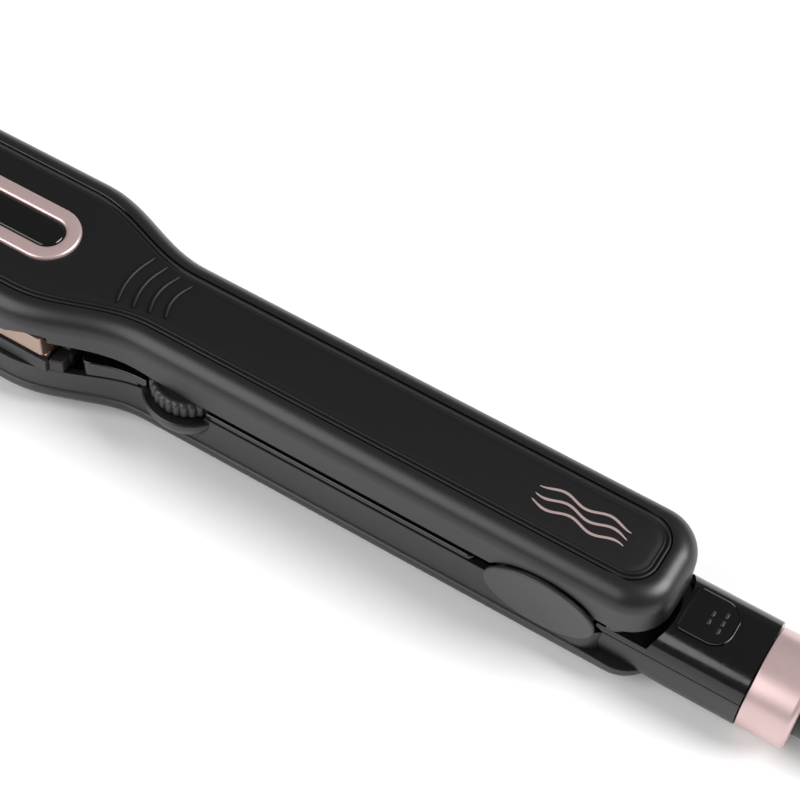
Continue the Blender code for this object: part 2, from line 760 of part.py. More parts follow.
def make_lower_shell(finish):
    low = ARM_FLOOR_Z + LOWER_EDGE_RADIUS
    skirt = reversed(fillet(low, LOWER_EDGE_RADIUS, -1))
    rings = [at_height(tray_outline(inset, SKIRT_END), z) for inset, z in skirt]
    rings.append(at_height(tray_outline(0.0, SKIRT_END), LEDGE_Z))
    rings.append(at_height(tray_outline(LOWER_WALL_INSET), LEDGE_Z + 0.2))
    rings.append(at_height(tray_outline(LOWER_WALL_INSET), lower_edge))
    shell = stacked("lower_shell", rings, finish)
    belly = stacked(
        "belly",
        [
            at_height(plan(22, 112, arm_half, 12, 8, inset, 12), z)
            for inset, z in ((12.5, 0.0), (9.0, 0.9), (5.0, ARM_FLOOR_Z + 0.4))
        ],
    )
    rear = rear_body("rear outer", 0.0, REAR_START, SEAM_AT)
    wheel_bulge = upright(
        "wheel bulge",
        WHEEL_AT,
        WHEEL_Y,
        [
            (WHEEL_RADIUS - 4, LEDGE_Z - 0.5),
            (WHEEL_RADIUS + WHEEL_CLEAR + BULGE_WALL - 2.6, LEDGE_Z + 4.5),
            (WHEEL_RADIUS + WHEEL_CLEAR + BULGE_WALL - 0.4, WHEEL_BOTTOM_Z - 3),
            (WHEEL_RADIUS + WHEEL_CLEAR + BULGE_WALL, WHEEL_BOTTOM_Z - GAP),
        ],
        None,
        28,
    )
    neck = along("neck", 0, COLLAR_RADIUS, [(SEAM_AT - 4, NECK_RADIUS), (SEAM_AT + 11, NECK_RADIUS)])
    ears = hinge_ovals("ear", EAR_INNER_Y, GRIP_HALF - 0.05, EAR_LONG, EAR_TALL)
    join(shell, belly, rear, wheel_bulge, neck)
    floor_z = ARM_FLOOR_Z + WALL
    hollow = stacked(
        "tray cavity",
        [at_height(tray_outline(LOWER_WALL_INSET + WALL, TRAY_END - 2), z) for z in (floor_z, 40)],
    )
    rear_hollow = rear_body("rear inner", WALL, REAR_START - 6, SEAM_AT - 3)
    bore = along("swivel bore", 0, COLLAR_RADIUS, [(SEAM_AT - 6, BORE_RADIUS), (SEAM_AT + 20, BORE_RADIUS)])
    above = block("above parting", HINGE_AT + 4, SEAM_AT + 0.01, -40, 40, PART_Z, 60)
    cut(shell, hollow, rear_hollow, bore, above)
    bosses = [lower_boss(s, top) for s, top in zip(LOWER_SCREWS, LOWER_BOSS_TOPS)]
    posts = [
        upright(f"board post {i}", s, y, [(1.8, floor_z - 0.6), (1.8, BOARD_Z - GAP)], None, 10)
        for i, (s, y) in enumerate(POST_PLACES)
    ]
    join(shell, *bosses, *posts)
    holes = []
    for s in LOWER_SCREWS:
        base = underside(s)
        profile = [
            (SCREW_HEAD + GAP, -5),
            (SCREW_HEAD + GAP, base + 2.4),
            (SCREW_SHAFT + GAP, base + 2.4),
            (SCREW_SHAFT + GAP, 30),
        ]
        holes.append(upright(f"lower hole {s:.0f}", s, 0, profile))
    wheel_room = upright(
        "wheel room",
        WHEEL_AT,
        WHEEL_Y,
        [(WHEEL_RADIUS + WHEEL_CLEAR, z) for z in (WHEEL_BOTTOM_Z - GAP, 40)],
        None,
        28,
    )
    pin_bore = across("pin bore", HINGE_AT, SPLIT_Z, [(y, PIN_RADIUS + GAP) for y in (-15.0, 15.0)])
    join(shell, *ears)
    return cut(shell, *holes, wheel_room, pin_bore)


def make_lower_lid(finish):
    """The inner cover of the lower grip, standing proud of the shell's edge."""

    def outline(inset):
        return plan(LID_START, LID_END, arm_half, 3, 3, inset)

    rings = [
        at_height(outline(LID_INSET), lambda s: lower_edge(s) + GAP),
        at_height(outline(LID_INSET), LID_TOP_Z - 0.4),
        at_height(outline(LID_INSET + 0.4), LID_TOP_Z),
    ]
    lid = stacked("lower_lid", rings, finish)
    cavity = stacked(
        "lid cavity",
        [at_height(outline(LID_INSET + 1.6), lambda s: lower_edge(s) - 3), at_height(outline(LID_INSET + 1.6), 21.5)],
    )
    cut(lid, cavity)
    bosses = []
    for s, top in list(zip(LOWER_SCREWS, LOWER_BOSS_TOPS))[:2]:
        bosses.append(upright(f"lid boss {s:.0f}", s, 0, [(BOSS_RADIUS, top + GAP), (BOSS_RADIUS, 22.0)]))
    join(lid, *bosses)
    pilots = [
        upright(f"lid pilot {s:.0f}", s, 0, [(SCREW_SHAFT + 0.2, 5), (SCREW_SHAFT + 0.2, 20.6)])
        for s in LOWER_SCREWS[:2]
    ]
    room = upright(
        "lid wheel room", WHEEL_AT, WHEEL_Y, [(WHEEL_RADIUS + WHEEL_CLEAR, z) for z in (5, 40)], None, 28
    )
    bulge_radius = WHEEL_RADIUS + WHEEL_CLEAR + BULGE_WALL + GAP
    bulge_room = upright(
        "lid bulge room", WHEEL_AT, WHEEL_Y, [(bulge_radius, z) for z in (5, WHEEL_BOTTOM_Z)], None, 28
    )
    return cut(lid, *pilots, room, bulge_room)


def make_wheel(finish):
    """The knurled temperature wheel, with the spindle that turns the regulator."""
    rings = []
    for radius, z in (
        (WHEEL_RADIUS - 0.8, WHEEL_BOTTOM_Z),
        (WHEEL_RADIUS, WHEEL_BOTTOM_Z + 0.7),
        (WHEEL_RADIUS, WHEEL_BOTTOM_Z + WHEEL_THICK - 0.7),
        (WHEEL_RADIUS - 0.8, WHEEL_BOTTOM_Z + WHEEL_THICK),
    ):
        ring = []
        for i, (p, q) in enumerate(circle(WHEEL_TEETH * 2, 1.0)):
            reach = radius - WHEEL_TOOTH * (i % 2)
            ring.append((WHEEL_AT + p * reach, WHEEL_Y + q * reach, z))
        rings.append(ring)
    wheel = stacked("thumbwheel", rings, finish)
    spindle = upright(
        "spindle",
        WHEEL_AT,
        WHEEL_Y,
        [(2.6, BOARD_Z + BOARD_THICK + GAP + SWITCH_HEIGHT + GAP), (2.6, WHEEL_BOTTOM_Z + 1)],
    )
    return join(wheel, spindle)


def make_board(finish):
    z0, z1 = BOARD_Z, BOARD_Z + BOARD_THICK
    return block("control_board", BOARD_START, BOARD_START + BOARD_LENGTH, -BOARD_HALF, BOARD_HALF, z0, z1, finish)


def make_rear_cover(finish):
    """The lid of the rear body: a hump that the arm's tail comes down around, a trench for the tail's end
    wall, and the flat top behind it that carries the lock slider."""
    front = HINGE_AT + EAR_LONG + 0.6
    outer = rear_body("rear_cover", 0.0, front, SEAM_AT)
    outer.data.materials.append(finish)
    inner = rear_body("cover inner", WALL, HINGE_AT + 5, SEAM_AT - WALL)
    below = block("below parting", HINGE_AT - 20, SEAM_AT + 5, -40, 40, -20, PART_Z + GAP)
    tail = stacked("tail room", [at_height(arm_outline(-TRENCH_CLEAR), z) for z in (TRENCH_Z, 60)])
    hump = [
        at_height(plan(front, ARM_LENGTH - 4.2, steady(HUMP_HALF), 3, 7, inset, 3), z)
        for inset, z in ((0, PART_Z + GAP), (0, REAR_TOP_Z - 1.3), (1, REAR_TOP_Z - 0.4))
    ]
    trench_floor = stacked(
        "trench floor",
        [at_height(plan(front, ARM_LENGTH + 3, steady(REAR_HALF - 1.4), 3, 10, 0, 3), z) for z in (17.9, TRENCH_Z)],
    )
    cut(outer, tail, inner)
    join(outer, trench_floor, stacked("hump", hump))
    hump_inner = stacked(
        "hump inner",
        [at_height(plan(front, ARM_LENGTH - 4.2, steady(HUMP_HALF), 3, 7, WALL, 3), z) for z in (10, REAR_TOP_Z - WALL - 0.1)],
    )
    cut(outer, below, hump_inner)
    bosses = [upright(f"cover boss {s:.0f}", s, 0, [(BOSS_RADIUS, 14.5 + GAP), (BOSS_RADIUS, 24)]) for s in LOWER_SCREWS[2:]]
    join(outer, *bosses)
    pilots = [
        upright(f"cover pilot {s:.0f}", s, 0, [(SCREW_SHAFT + 0.2, 5), (SCREW_SHAFT + 0.2, 22.0)])
        for s in LOWER_SCREWS[2:]
    ]
    slot = block("slider slot", SLIDER_STEM - GAP, SLIDER_STEM + 4 + SLIDER_TRAVEL + GAP, -1.8, 1.8, 20, 30)
    return cut(outer, *pilots, slot)


def make_slider(finish):
    """The lock: a thin cap on the flat top, a stem through its slot and a foot that holds it down."""
    low, high = REAR_TOP_Z + GAP, REAR_TOP_Z + GAP + SLIDER_PROUD
    levels = ((0.0, low), (0.0, high - 0.2), (0.25, high))
    cap = stacked(
        "lock_slider",
        [at_height(plan(SLIDER_START, SLIDER_END, steady(SLIDER_HALF), 1.0, 5.0, inset, 4), z) for inset, z in levels],
        finish,
    )
    stem = block("slider stem", SLIDER_STEM, SLIDER_STEM + 4, -1.5, 1.5, REAR_TOP_Z - WALL - 1.2, low + 0.2)
    foot_top = REAR_TOP_Z - WALL - GAP
    foot = block("slider foot", SLIDER_STEM - 1, SLIDER_STEM + 5, -4, 4, foot_top - 1.4, foot_top)
    return join(cap, stem, foot)


def make_pads(finish):
    pads = []
    inner = GRIP_HALF + GAP
    for side, label in ((-1, "near"), (1, "far")):
        profile = [
            (side * inner, PAD_LONG),
            (side * (inner + PAD_THICK * 0.6), PAD_LONG),
            (side * (inner + PAD_THICK), PAD_LONG - 0.5),
        ]
        tall = PAD_TALL / PAD_LONG
        pads.append(across(f"hinge_pad_{label}", HINGE_AT, SPLIT_Z, profile, finish, 28, tall))
    return pads


def make_hinge_pin(finish):
    reach = EAR_INNER_Y + 2.1
    profile = [(-reach, PIN_RADIUS - 0.3), (-reach + 0.4, PIN_RADIUS), (reach - 0.4, PIN_RADIUS), (reach, PIN_RADIUS - 0.3)]
    return across("hinge_pin", HINGE_AT, SPLIT_Z, profile, finish, 16)


def make_spring(finish):
    """The torsion spring that opens the arms: turns round the pin, one leg up to the lid, one to the floor."""
    steps, pitch = 12, 1.35
    width = pitch * SPRING_TURNS
    points = [(HINGE_AT - 15, width / 2, UPPER_LID_Z - GAP - SPRING_WIRE)]
    points.append((HINGE_AT - 7, width / 2, SPLIT_Z + SPRING_RADIUS + 0.5))
    for i in range(steps * SPRING_TURNS + steps // 2 + 1):
        turn = math.pi / 2 - 2 * math.pi * i / steps
        share = i / (steps * SPRING_TURNS + steps // 2)
        s = HINGE_AT + SPRING_RADIUS * math.cos(turn)
        points.append((s, width / 2 - width * share, SPLIT_Z + SPRING_RADIUS * math.sin(turn)))
    floor_z = ARM_FLOOR_Z + WALL + GAP + SPRING_WIRE
    points.append((HINGE_AT - 6, -width / 2, SPLIT_Z - SPRING_RADIUS - 3))
    points.append((HINGE_AT - 10, -width / 2, floor_z))
    return wire("opening_spring", points, SPRING_WIRE, finish, 1, 1)


def make_collar(finish):
    start, end = SEAM_AT + GAP, SEAM_AT + COLLAR_LENGTH
    outer = [(start, COLLAR_RADIUS - 0.3), (start + 0.3, COLLAR_RADIUS), (end - 0.6, COLLAR_RADIUS), (end, COLLAR_RADIUS - 0.6)]
    collar = along("collar", 0, COLLAR_RADIUS, outer, finish, 32)
    inner = [
        (start - 2, NECK_RADIUS + GAP),
        (SEAM_AT + 11 + GAP, NECK_RADIUS + GAP),
        (SEAM_AT + 11 + GAP, BOOT_RADIUS + 0.4),
        (end + 2, BOOT_RADIUS + 0.4),
    ]
    return cut(collar, along("collar bore", 0, COLLAR_RADIUS, inner, None, 32))


def make_boot(finish):
    """The swivelling strain relief: a head held in the neck, then a taper with grooves."""
    end = BODY_LENGTH
    wide = SEAM_AT + 11 + 2 * GAP
    profile = [(SEAM_AT + 1.7, 7.6), (SEAM_AT + 5.7, 7.6), (SEAM_AT + 5.7, 5.6), (wide, 5.6), (wide, BOOT_RADIUS - 0.3)]
    profile.append((wide + 0.4, BOOT_RADIUS))
    start = SEAM_AT + COLLAR_LENGTH + 3
    profile.append((start, BOOT_RADIUS))
    grooves = 6
    pitch = (end - start) / grooves
    for i in range(grooves):
        for share, depth in ((0.15, 1.3), (0.4, 1.3), (0.55, 0.0), (1.0, 0.0)):
            along_boot = (i + share) / grooves
            radius = BOOT_RADIUS + (BOOT_TIP_RADIUS - BOOT_RADIUS) * along_boot
            profile.append((start + pitch * (i + share), radius - depth * (1 - 0.6 * along_boot)))
    return along("swivel_boot", 0, COLLAR_RADIUS, profile, finish, 16)


def make_retainer(finish):
    s = SEAM_AT + 6.1
    ring = along("swivel_retainer", 0, COLLAR_RADIUS, [(s, 8.0), (s + 2, 8.0)], finish, 32)
    return cut(ring, along("retainer bore", 0, COLLAR_RADIUS, [(s - 1, 5.9), (s + 3, 5.9)], None, 32))


def make_contacts(finish):
    """The disc with its centre pin, from which the swivelling lead takes its supply."""
    s = SEAM_AT - 5.4
    profile = [(s, 7.9), (s + 2.2, 7.9), (s + 2.2, 1.6), (SEAM_AT + 1.4, 1.6)]
    return along("slip_contacts", 0, COLLAR_RADIUS, profile, finish, 24)


# Cord: a lead from the boot to a tied hank in line with the body, and a short tail to the plug.

LEAD_ROUTE = (
    (BODY_LENGTH + GAP, 0.0, CORD_EXIT_Z),
    (BODY_LENGTH + 7.0, 0.0, CORD_EXIT_Z - 0.1),
    (BODY_LENGTH + 13.0, -0.4, CORD_EXIT_Z - 1.1),
    (BODY_LENGTH + 19.0, -1.8, 9.9),
    (BODY_LENGTH + 25.0, -4.0, 7.4),
    (BODY_LENGTH + 31.0, -6.8, 5.1),
    (BODY_LENGTH + 37.0, -9.8, 3.4),
    (BODY_LENGTH + 43.0, -12.8, 2.8),
    (BODY_LENGTH + 49.0, -15.2, 2.9),
    (BODY_LENGTH + 55.0, -16.8, 3.3),
    (HANK_START - GAP, -HANK_SIDE, 3.6),
)
HANK_END = HANK_START + HANK_LENGTH
TAIL_ROUTE = (
    (HANK_END + GAP, -HANK_SIDE, 18.6),
    (HANK_END + 7.0, -16.8, 17.8),
    (HANK_END + 14.0, -14.7, 15.7),
    (HANK_END + 21.0, -11.8, 12.7),
    (HANK_END + 28.0, -8.8, 9.6),
    (HANK_END + 35.0, -6.7, 7.5),
    (PLUG_START - GAP, PLUG_Y, PLUG_THICK / 2 + 0.2),
)


def make_cord(cord_finish, tie_finish, pin_finish):
    wire("cord_lead", LEAD_ROUTE, CORD_RADIUS, cord_finish, 2, 4)
    wire("cord_tail", TAIL_ROUTE, CORD_RADIUS, cord_finish, 2, 3)
    levels = ((1.0, HANK_LOW), (0.0, HANK_LOW + 1), (0.0, HANK_TOP - 1), (1.0, HANK_TOP))
    stacked(
        "cord_hank",
        [at_height(plan(HANK_START, HANK_END, steady(HANK_HALF), 3, 3, inset, 2), z) for inset, z in levels],
        cord_finish,
    )
    middle = HANK_START + HANK_LENGTH / 2
    tie = block("hank_tie", middle - 4, middle + 4, -HANK_HALF - 1.3, HANK_HALF + 1.3, 0.1, HANK_TOP + 1.3, tie_finish)
    inside = block(
        "tie inside",
        middle - 6,
        middle + 6,
        -HANK_HALF - GAP,
        HANK_HALF + GAP,
        HANK_LOW - GAP,
        HANK_TOP + GAP,
    )
    cut(tie, inside)
    levels = ((1.0, 0.2), (0.0, 1.4), (0.0, PLUG_THICK - 1.0), (1.0, PLUG_THICK + 0.2))

    def plug_half(s):
        return PLUG_HALF - 5 * (1 - smooth((s - PLUG_START) / 20))

    def plug_ring(inset, z):
        return [(s, PLUG_Y + y, z) for s, y in plan(PLUG_START, plug_end, plug_half, 3, 3, inset, 8)]

    plug_end = PLUG_START + PLUG_LENGTH
    stacked("plug_body", [plug_ring(inset, z) for inset, z in levels], cord_finish)
    for index, side in ((1, -1), (2, 1)):
        profile = [(plug_end + GAP, 2.0), (plug_end + 18, 2.0), (plug_end + 19, 1.2)]
        along(f"plug_pin_{index}", PLUG_Y + side * 9.5, PLUG_THICK / 2 + 0.2, profile, pin_finish, 12)


def main():
    for obj in list(bpy.data.objects):
        bpy.data.objects.remove(obj, do_unlink=True)
    satin = material("satin black ABS", (0.012, 0.012, 0.013), 0.45)
    panel = material("matt black lacquer", (0.006, 0.006, 0.007), 0.6)
    gloss = material("gloss black ABS", (0.006, 0.006, 0.008), 0.12)
    rose = material("rose gold lacquer", (0.56, 0.40, 0.38), 0.32, 0.85)
    coating = material("rose gold plate coating", (0.62, 0.36, 0.27), 0.2, 0.9)
    heatproof = material("black PPS", (0.02, 0.02, 0.02), 0.5)
    ceramic = material("white ceramic", (0.8, 0.78, 0.72), 0.6)
    steel = material("spring steel", (0.45, 0.45, 0.46), 0.3, 1.0)
    brass = material("nickel-plated brass", (0.6, 0.56, 0.48), 0.25, 1.0)
    board = material("green board", (0.02, 0.12, 0.05), 0.5)
    silicone = material("red silicone", (0.35, 0.05, 0.03), 0.6)
    rubber = material("black PVC", (0.015, 0.015, 0.015), 0.55)

    hinge = empty("upper arm hinge", HINGE_AT, 0, SPLIT_Z)
    upper = [make_upper_shell(satin), make_deck(panel), *make_trim(rose, gloss), make_upper_lid(heatproof)]
    upper.append(add_flanges(make_plate("upper_plate", 1, PLATE_HALF, PLATE_DEPTH, coating)))
    upper.append(make_heater("upper_heater", 1, ceramic))
    upper.append(make_clip("upper_heater_clip", 1, steel))
    upper.append(make_carrier("upper_carrier", 1, UPPER_SLAB, RAIL_DROP, heatproof))
    for i, s in enumerate(UPPER_SCREWS):
        upper.append(screw(f"upper_screw_{i + 1}", s, 0, UPPER_LID_Z - GAP - 1.4, 1, 7.5, steel))
    lead_z = UPPER_LID_Z + LID_THICK + GAP + 1.0
    lead = [(98.0, 5.0, 31.9), (113.0, 5.0, 31.9), (125.0, 5.0, lead_z), (180.0, 5.0, lead_z), (238.0, 5.0, lead_z)]
    upper.append(wire("upper_heater_lead", lead, 1.0, silicone, 1, 3))
    for obj in upper:
        hang_on(obj, hinge, (HINGE_AT, 0, SPLIT_Z))

    float_at = empty("lower plate slide", PLATE_START + PLATE_LENGTH / 2, 0, SPLIT_Z)
    lower_plate = [make_plate("lower_plate", -1, LOWER_PLATE_HALF, LOWER_LIP, coating)]
    lower_plate.append(make_heater("lower_heater", -1, ceramic))
    lower_plate.append(make_clip("lower_heater_clip", -1, steel))
    clip_z = SPLIT_Z - (GAP / 2 + PLATE_WALL + GAP + HEATER_THICK + GAP + 0.7)
    cushion_bottom = ARM_FLOOR_Z + WALL + PLATE_TRAVEL + GAP
    wells = []
    for label, s in CUSHION_PLACES:
        profile = [(3.0, cushion_bottom), (3.0, clip_z - GAP)]
        lower_plate.append(upright(f"plate_cushion_{label}", s, 0, profile, silicone, 14))
        wells.append(upright(f"cushion well {label}", s, 0, [(3.6, 0), (3.6, 30)], None, 14))
    sensor_top = SPLIT_Z - GAP / 2 - PLATE_WALL - GAP
    lower_plate.append(block("temperature_sensor", 55, 60, 11, 14, sensor_top - 2, sensor_top, ceramic, 0.3))
    for obj in lower_plate:
        hang_on(obj, float_at, (PLATE_START + PLATE_LENGTH / 2, 0, SPLIT_Z))

    make_lower_shell(satin)
    make_lower_lid(gloss)
    make_carrier("lower_carrier", -1, LOWER_SLAB, RAIL_DROP, heatproof, wells)
    fuse_z = SPLIT_Z - LOWER_SLAB - SLAB_THICK - GAP - 1.5
    along("thermal_fuse", 8, fuse_z, [(52, 1.5), (62, 1.5)], brass, 12)
    make_board(board)
    top = BOARD_Z + BOARD_THICK + GAP
    half = SWITCH_SIZE / 2
    block(
        "temperature_regulator",
        WHEEL_AT - half,
        WHEEL_AT + half,
        WHEEL_Y - half,
        WHEEL_Y + half,
        top,
        top + SWITCH_HEIGHT,
        heatproof,
        0.4,
    )
    block("capacitor", 168, 182, -3, 3, top, top + 8, ceramic, 0.5)
    floor_lead = ARM_FLOOR_Z + WALL + GAP + 1.0
    lead = [(64.0, 8.0, fuse_z), (84.0, 8.0, floor_lead + 1), (104.0, 6.0, floor_lead), (127.0, 6.0, floor_lead)]
    wire("lower_heater_lead", lead, 1.0, silicone, 1, 4)
    lead = [(206.6, 5.0, 10.0), (216.0, 5.0, floor_lead), (240.0, 5.0, floor_lead + 0.2), (256.0, 5.0, 9.0), (274.0, 5.0, 9.0), (289.5, 3.0, 11.0)]
    wire("supply_lead", lead, 1.0, silicone, 1, 4)
    make_rear_cover(gloss)
    make_pads(satin)
    make_hinge_pin(steel)
    make_spring(steel)
    for i, s in enumerate(LOWER_SCREWS):
        base = underside(s)
        screw(f"lower_screw_{i + 1}", s, 0, base + 0.6, 1, 14.5, steel)
    make_collar(rose)
    make_retainer(brass)
    make_contacts(brass)

    wheel_axis = empty("wheel axis", WHEEL_AT, WHEEL_Y, WHEEL_BOTTOM_Z)
    hang_on(make_wheel(gloss), wheel_axis, (WHEEL_AT, WHEEL_Y, WHEEL_BOTTOM_Z))
    slide = empty("lock slide", SLIDER_END, 0, REAR_TOP_Z)
    hang_on(make_slider(gloss), slide, (SLIDER_END, 0, REAR_TOP_Z))
    swivel = empty("swivel axis", SEAM_AT, 0, COLLAR_RADIUS)
    hang_on(make_boot(rubber), swivel, (SEAM_AT, 0, COLLAR_RADIUS))
    make_cord(rubber, rubber, brass)
    bpy.context.view_layer.update()


main()
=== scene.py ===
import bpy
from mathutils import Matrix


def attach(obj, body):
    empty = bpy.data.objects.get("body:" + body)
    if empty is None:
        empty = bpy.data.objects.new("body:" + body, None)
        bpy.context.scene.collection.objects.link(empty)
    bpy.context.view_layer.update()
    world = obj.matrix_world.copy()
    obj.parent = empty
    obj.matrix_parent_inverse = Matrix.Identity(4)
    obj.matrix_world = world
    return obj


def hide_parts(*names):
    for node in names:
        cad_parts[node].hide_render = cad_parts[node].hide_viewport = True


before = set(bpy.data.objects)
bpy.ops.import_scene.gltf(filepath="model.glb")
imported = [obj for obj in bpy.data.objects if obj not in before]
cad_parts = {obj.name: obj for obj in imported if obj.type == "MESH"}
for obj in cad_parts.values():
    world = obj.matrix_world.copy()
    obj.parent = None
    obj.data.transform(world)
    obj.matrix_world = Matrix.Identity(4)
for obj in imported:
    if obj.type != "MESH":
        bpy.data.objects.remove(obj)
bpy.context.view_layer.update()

import math

import bmesh
import bpy
import numpy as np
from mathutils import Matrix

# Lengths are in mm from the plates' tip along the body, across it, and up from the floor.
body = {"middle": 171.3, "length": 342.6, "neckStart": 95.0, "neckLength": 36.0, "hinge": 244.4, "armEnd": 272.8,
        "seam": 295.8, "headHalf": 24.3, "gripHalf": 15.3, "top": 39.2, "split": 22.1, "wall": 2.0, "gap": 0.3}


def smoothStep(t):
    return (1 - np.cos(np.pi * np.clip(t, 0, 1))) / 2  # half a cosine from 0 to 1


def flare(s, head, grip):
    # a wide head, then an S-curve through the neck down to the grip
    return head + (grip - head) * smoothStep((s - body["neckStart"]) / body["neckLength"])


def armHalf(s):
    return flare(s, body["headHalf"], body["gripHalf"])


def steadyHalf(width):
    return lambda s: width + 0 * np.asarray(s, float)


def planOutline(start, end, half, startRadius, endRadius, inset=0.0, sides=110, corners=12):
    # outline seen from above: a quarter round, a side that follows half(s), a quarter round, then their mirror
    a, b = start + inset, end - inset
    r0, r1 = max(startRadius - inset, 0.3), max(endRadius - inset, 0.3)
    turn = np.linspace(0, np.pi / 2, corners, endpoint=False)
    s = np.linspace(a + r0, b - r1, sides)
    rear = turn + np.pi / 2 / corners
    along = np.concatenate([a + r0 * (1 - np.cos(turn)), s, b - r1 * (1 - np.sin(rear))])
    across = np.concatenate([half(a + r0) - inset - r0 * (1 - np.sin(turn)), half(s) - inset,
                             half(b - r1) - inset - r1 * (1 - np.cos(rear))])
    return np.stack([np.concatenate([along, along[::-1]]), np.concatenate([-across, across[::-1]])], 1)


def atHeight(outline, z):
    # z is one height, or a function of the length along the body
    heights = z(outline[:, 0]) if callable(z) else np.full(len(outline), float(z))
    return np.column_stack([outline, heights])


def makeMesh(name, points, faces, sharp=30.0):
    mesh = bpy.data.meshes.new(name)
    metres = (np.asarray(points, float).reshape(-1, 3) - [body["middle"], 0, 0]) / 1000
    mesh.from_pydata(metres.tolist(), [], faces)
    work = bmesh.new()
    work.from_mesh(mesh)
    bmesh.ops.remove_doubles(work, verts=work.verts, dist=2e-7)
    bmesh.ops.recalc_face_normals(work, faces=work.faces)
    work.to_mesh(mesh)
    work.free()
    mesh.shade_smooth()
    mesh.set_sharp_from_angle(angle=math.radians(sharp))
    made = bpy.data.objects.new(name, mesh)
    bpy.context.scene.collection.objects.link(made)
    return made


def gridFaces(rows, columns, closedRows=False, closedColumns=True):
    # four-sided faces between neighbouring points of a grid of two parameters
    i = np.arange(rows if closedRows else rows - 1)[:, None]
    j = np.arange(columns if closedColumns else columns - 1)[None, :]
    i2, j2 = (i + 1) % rows, (j + 1) % columns
    corners = [i * columns + j, i * columns + j2, i2 * columns + j2, i2 * columns + j]
    return np.stack(corners, -1).reshape(-1, 4).tolist()


def closedTubes(name, grids, sharp=30.0):
    # one mesh of grids whose rings close, with a flat face over the first and last ring of each
    points, faces, first = [], [], 0
    for grid in grids:
        rows, columns = grid.shape[:2]
        caps = [list(range(columns))[::-1], list(range((rows - 1) * columns, rows * columns))]
        faces += [[v + first for v in face] for face in gridFaces(rows, columns) + caps]
        points.append(grid.reshape(-1, 3))
        first += rows * columns
    return makeMesh(name, np.vstack(points), faces, sharp)


def stackRings(name, rings, sharp=30.0):
    # a closed solid: rings of points with as many points each, and rungs across the first and last ring
    grid = np.stack(rings)
    rows, columns = grid.shape[:2]
    r = np.arange(columns // 2 - 1)
    rungs = np.stack([r, r + 1, columns - 2 - r, columns - 1 - r], -1)
    faces = gridFaces(rows, columns) + rungs[:, ::-1].tolist() + (rungs + (rows - 1) * columns).tolist()
    return makeMesh(name, grid, faces, sharp)


def turned(name, profile, axis, centre, count=96, flatten=1.0, sharp=30.0):
    # a profile of (place along the axis, radius) turned a whole turn; flatten squashes it in height
    profile = np.asarray(profile, float)
    turn = 2 * np.pi * (np.arange(count) + 0.5) / count
    u, v = np.outer(profile[:, 1], np.cos(turn)), np.outer(profile[:, 1], np.sin(turn)) * flatten
    w = np.repeat(profile[:, :1], count, 1)
    order = {"x": (w, u, v), "y": (u, w, v), "z": (u, v, w)}[axis]
    return closedTubes(name, [np.stack(order, -1) + np.asarray(centre, float)], sharp)


def boxSolid(name, low, high):
    (x0, y0, z0), (x1, y1, z1) = low, high
    rings = [np.array([(x0, y0, z), (x1, y0, z), (x1, y1, z), (x0, y1, z)], float) for z in (z0, z1)]
    return stackRings(name, rings)


def combine(target, operation, *others):
    # one Boolean for each other solid, applied at once, after which the other solids go
    for other in others:
        step = target.modifiers.new(operation.lower(), "BOOLEAN")
        step.operation, step.solver, step.object = operation, "EXACT", other
    bpy.context.view_layer.update()
    graph = bpy.context.evaluated_depsgraph_get()
    mesh = bpy.data.meshes.new_from_object(target.evaluated_get(graph))
    target.modifiers.clear()
    target.data = mesh
    for other in others:
        bpy.data.objects.remove(other, do_unlink=True)
    return target


def cut(target, *others):
    return combine(target, "DIFFERENCE", *others)


def join(target, *others):
    return combine(target, "UNION", *others)


def filletPairs(base, radius, rise, steps=9):
    # (inset, height) of a quarter round that starts on a wall at height base
    turn = np.linspace(0, np.pi / 2, steps)
    return list(zip(radius * (1 - np.cos(turn)), base + rise * radius * np.sin(turn)))


def settle(piece, part, slot, finish, *nodes, sharp=30.0, weighted=True):
    # a finished piece: its shading, its material, the body it rides on and the solids it stands for
    piece.data.materials.clear()
    piece.data.materials.append(finish)
    if piece.type == "MESH":
        piece.data.shade_smooth()
        piece.data.set_sharp_from_angle(angle=math.radians(sharp))
        if weighted:
            step = piece.modifiers.new("flat faces first", "WEIGHTED_NORMAL")
            step.keep_sharp, step.weight = True, 60
    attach(piece, part)
    if nodes:
        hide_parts(*nodes)
    return piece


def colour(code):
    # an sRGB hex code as linear red, green, blue and alpha
    srgb = np.array([int(code[i:i + 2], 16) for i in (1, 3, 5)]) / 255
    linear = np.where(srgb <= 0.04045, srgb / 12.92, ((srgb + 0.055) / 1.055) ** 2.4)
    return (*linear.tolist(), 1.0)


def addNode(tree, kind, settings=None, links=None):
    # one node with its settings; links maps an input to (node, output), and settings go to sockets or properties
    node = tree.nodes.new(kind)
    for key, value in (settings or {}).items():
        if key in node.inputs:
            node.inputs[key].default_value = value
        else:
            setattr(node, key, value)
    for key, (source, output) in (links or {}).items():
        tree.links.new(source.outputs[output], node.inputs[key])
    return node


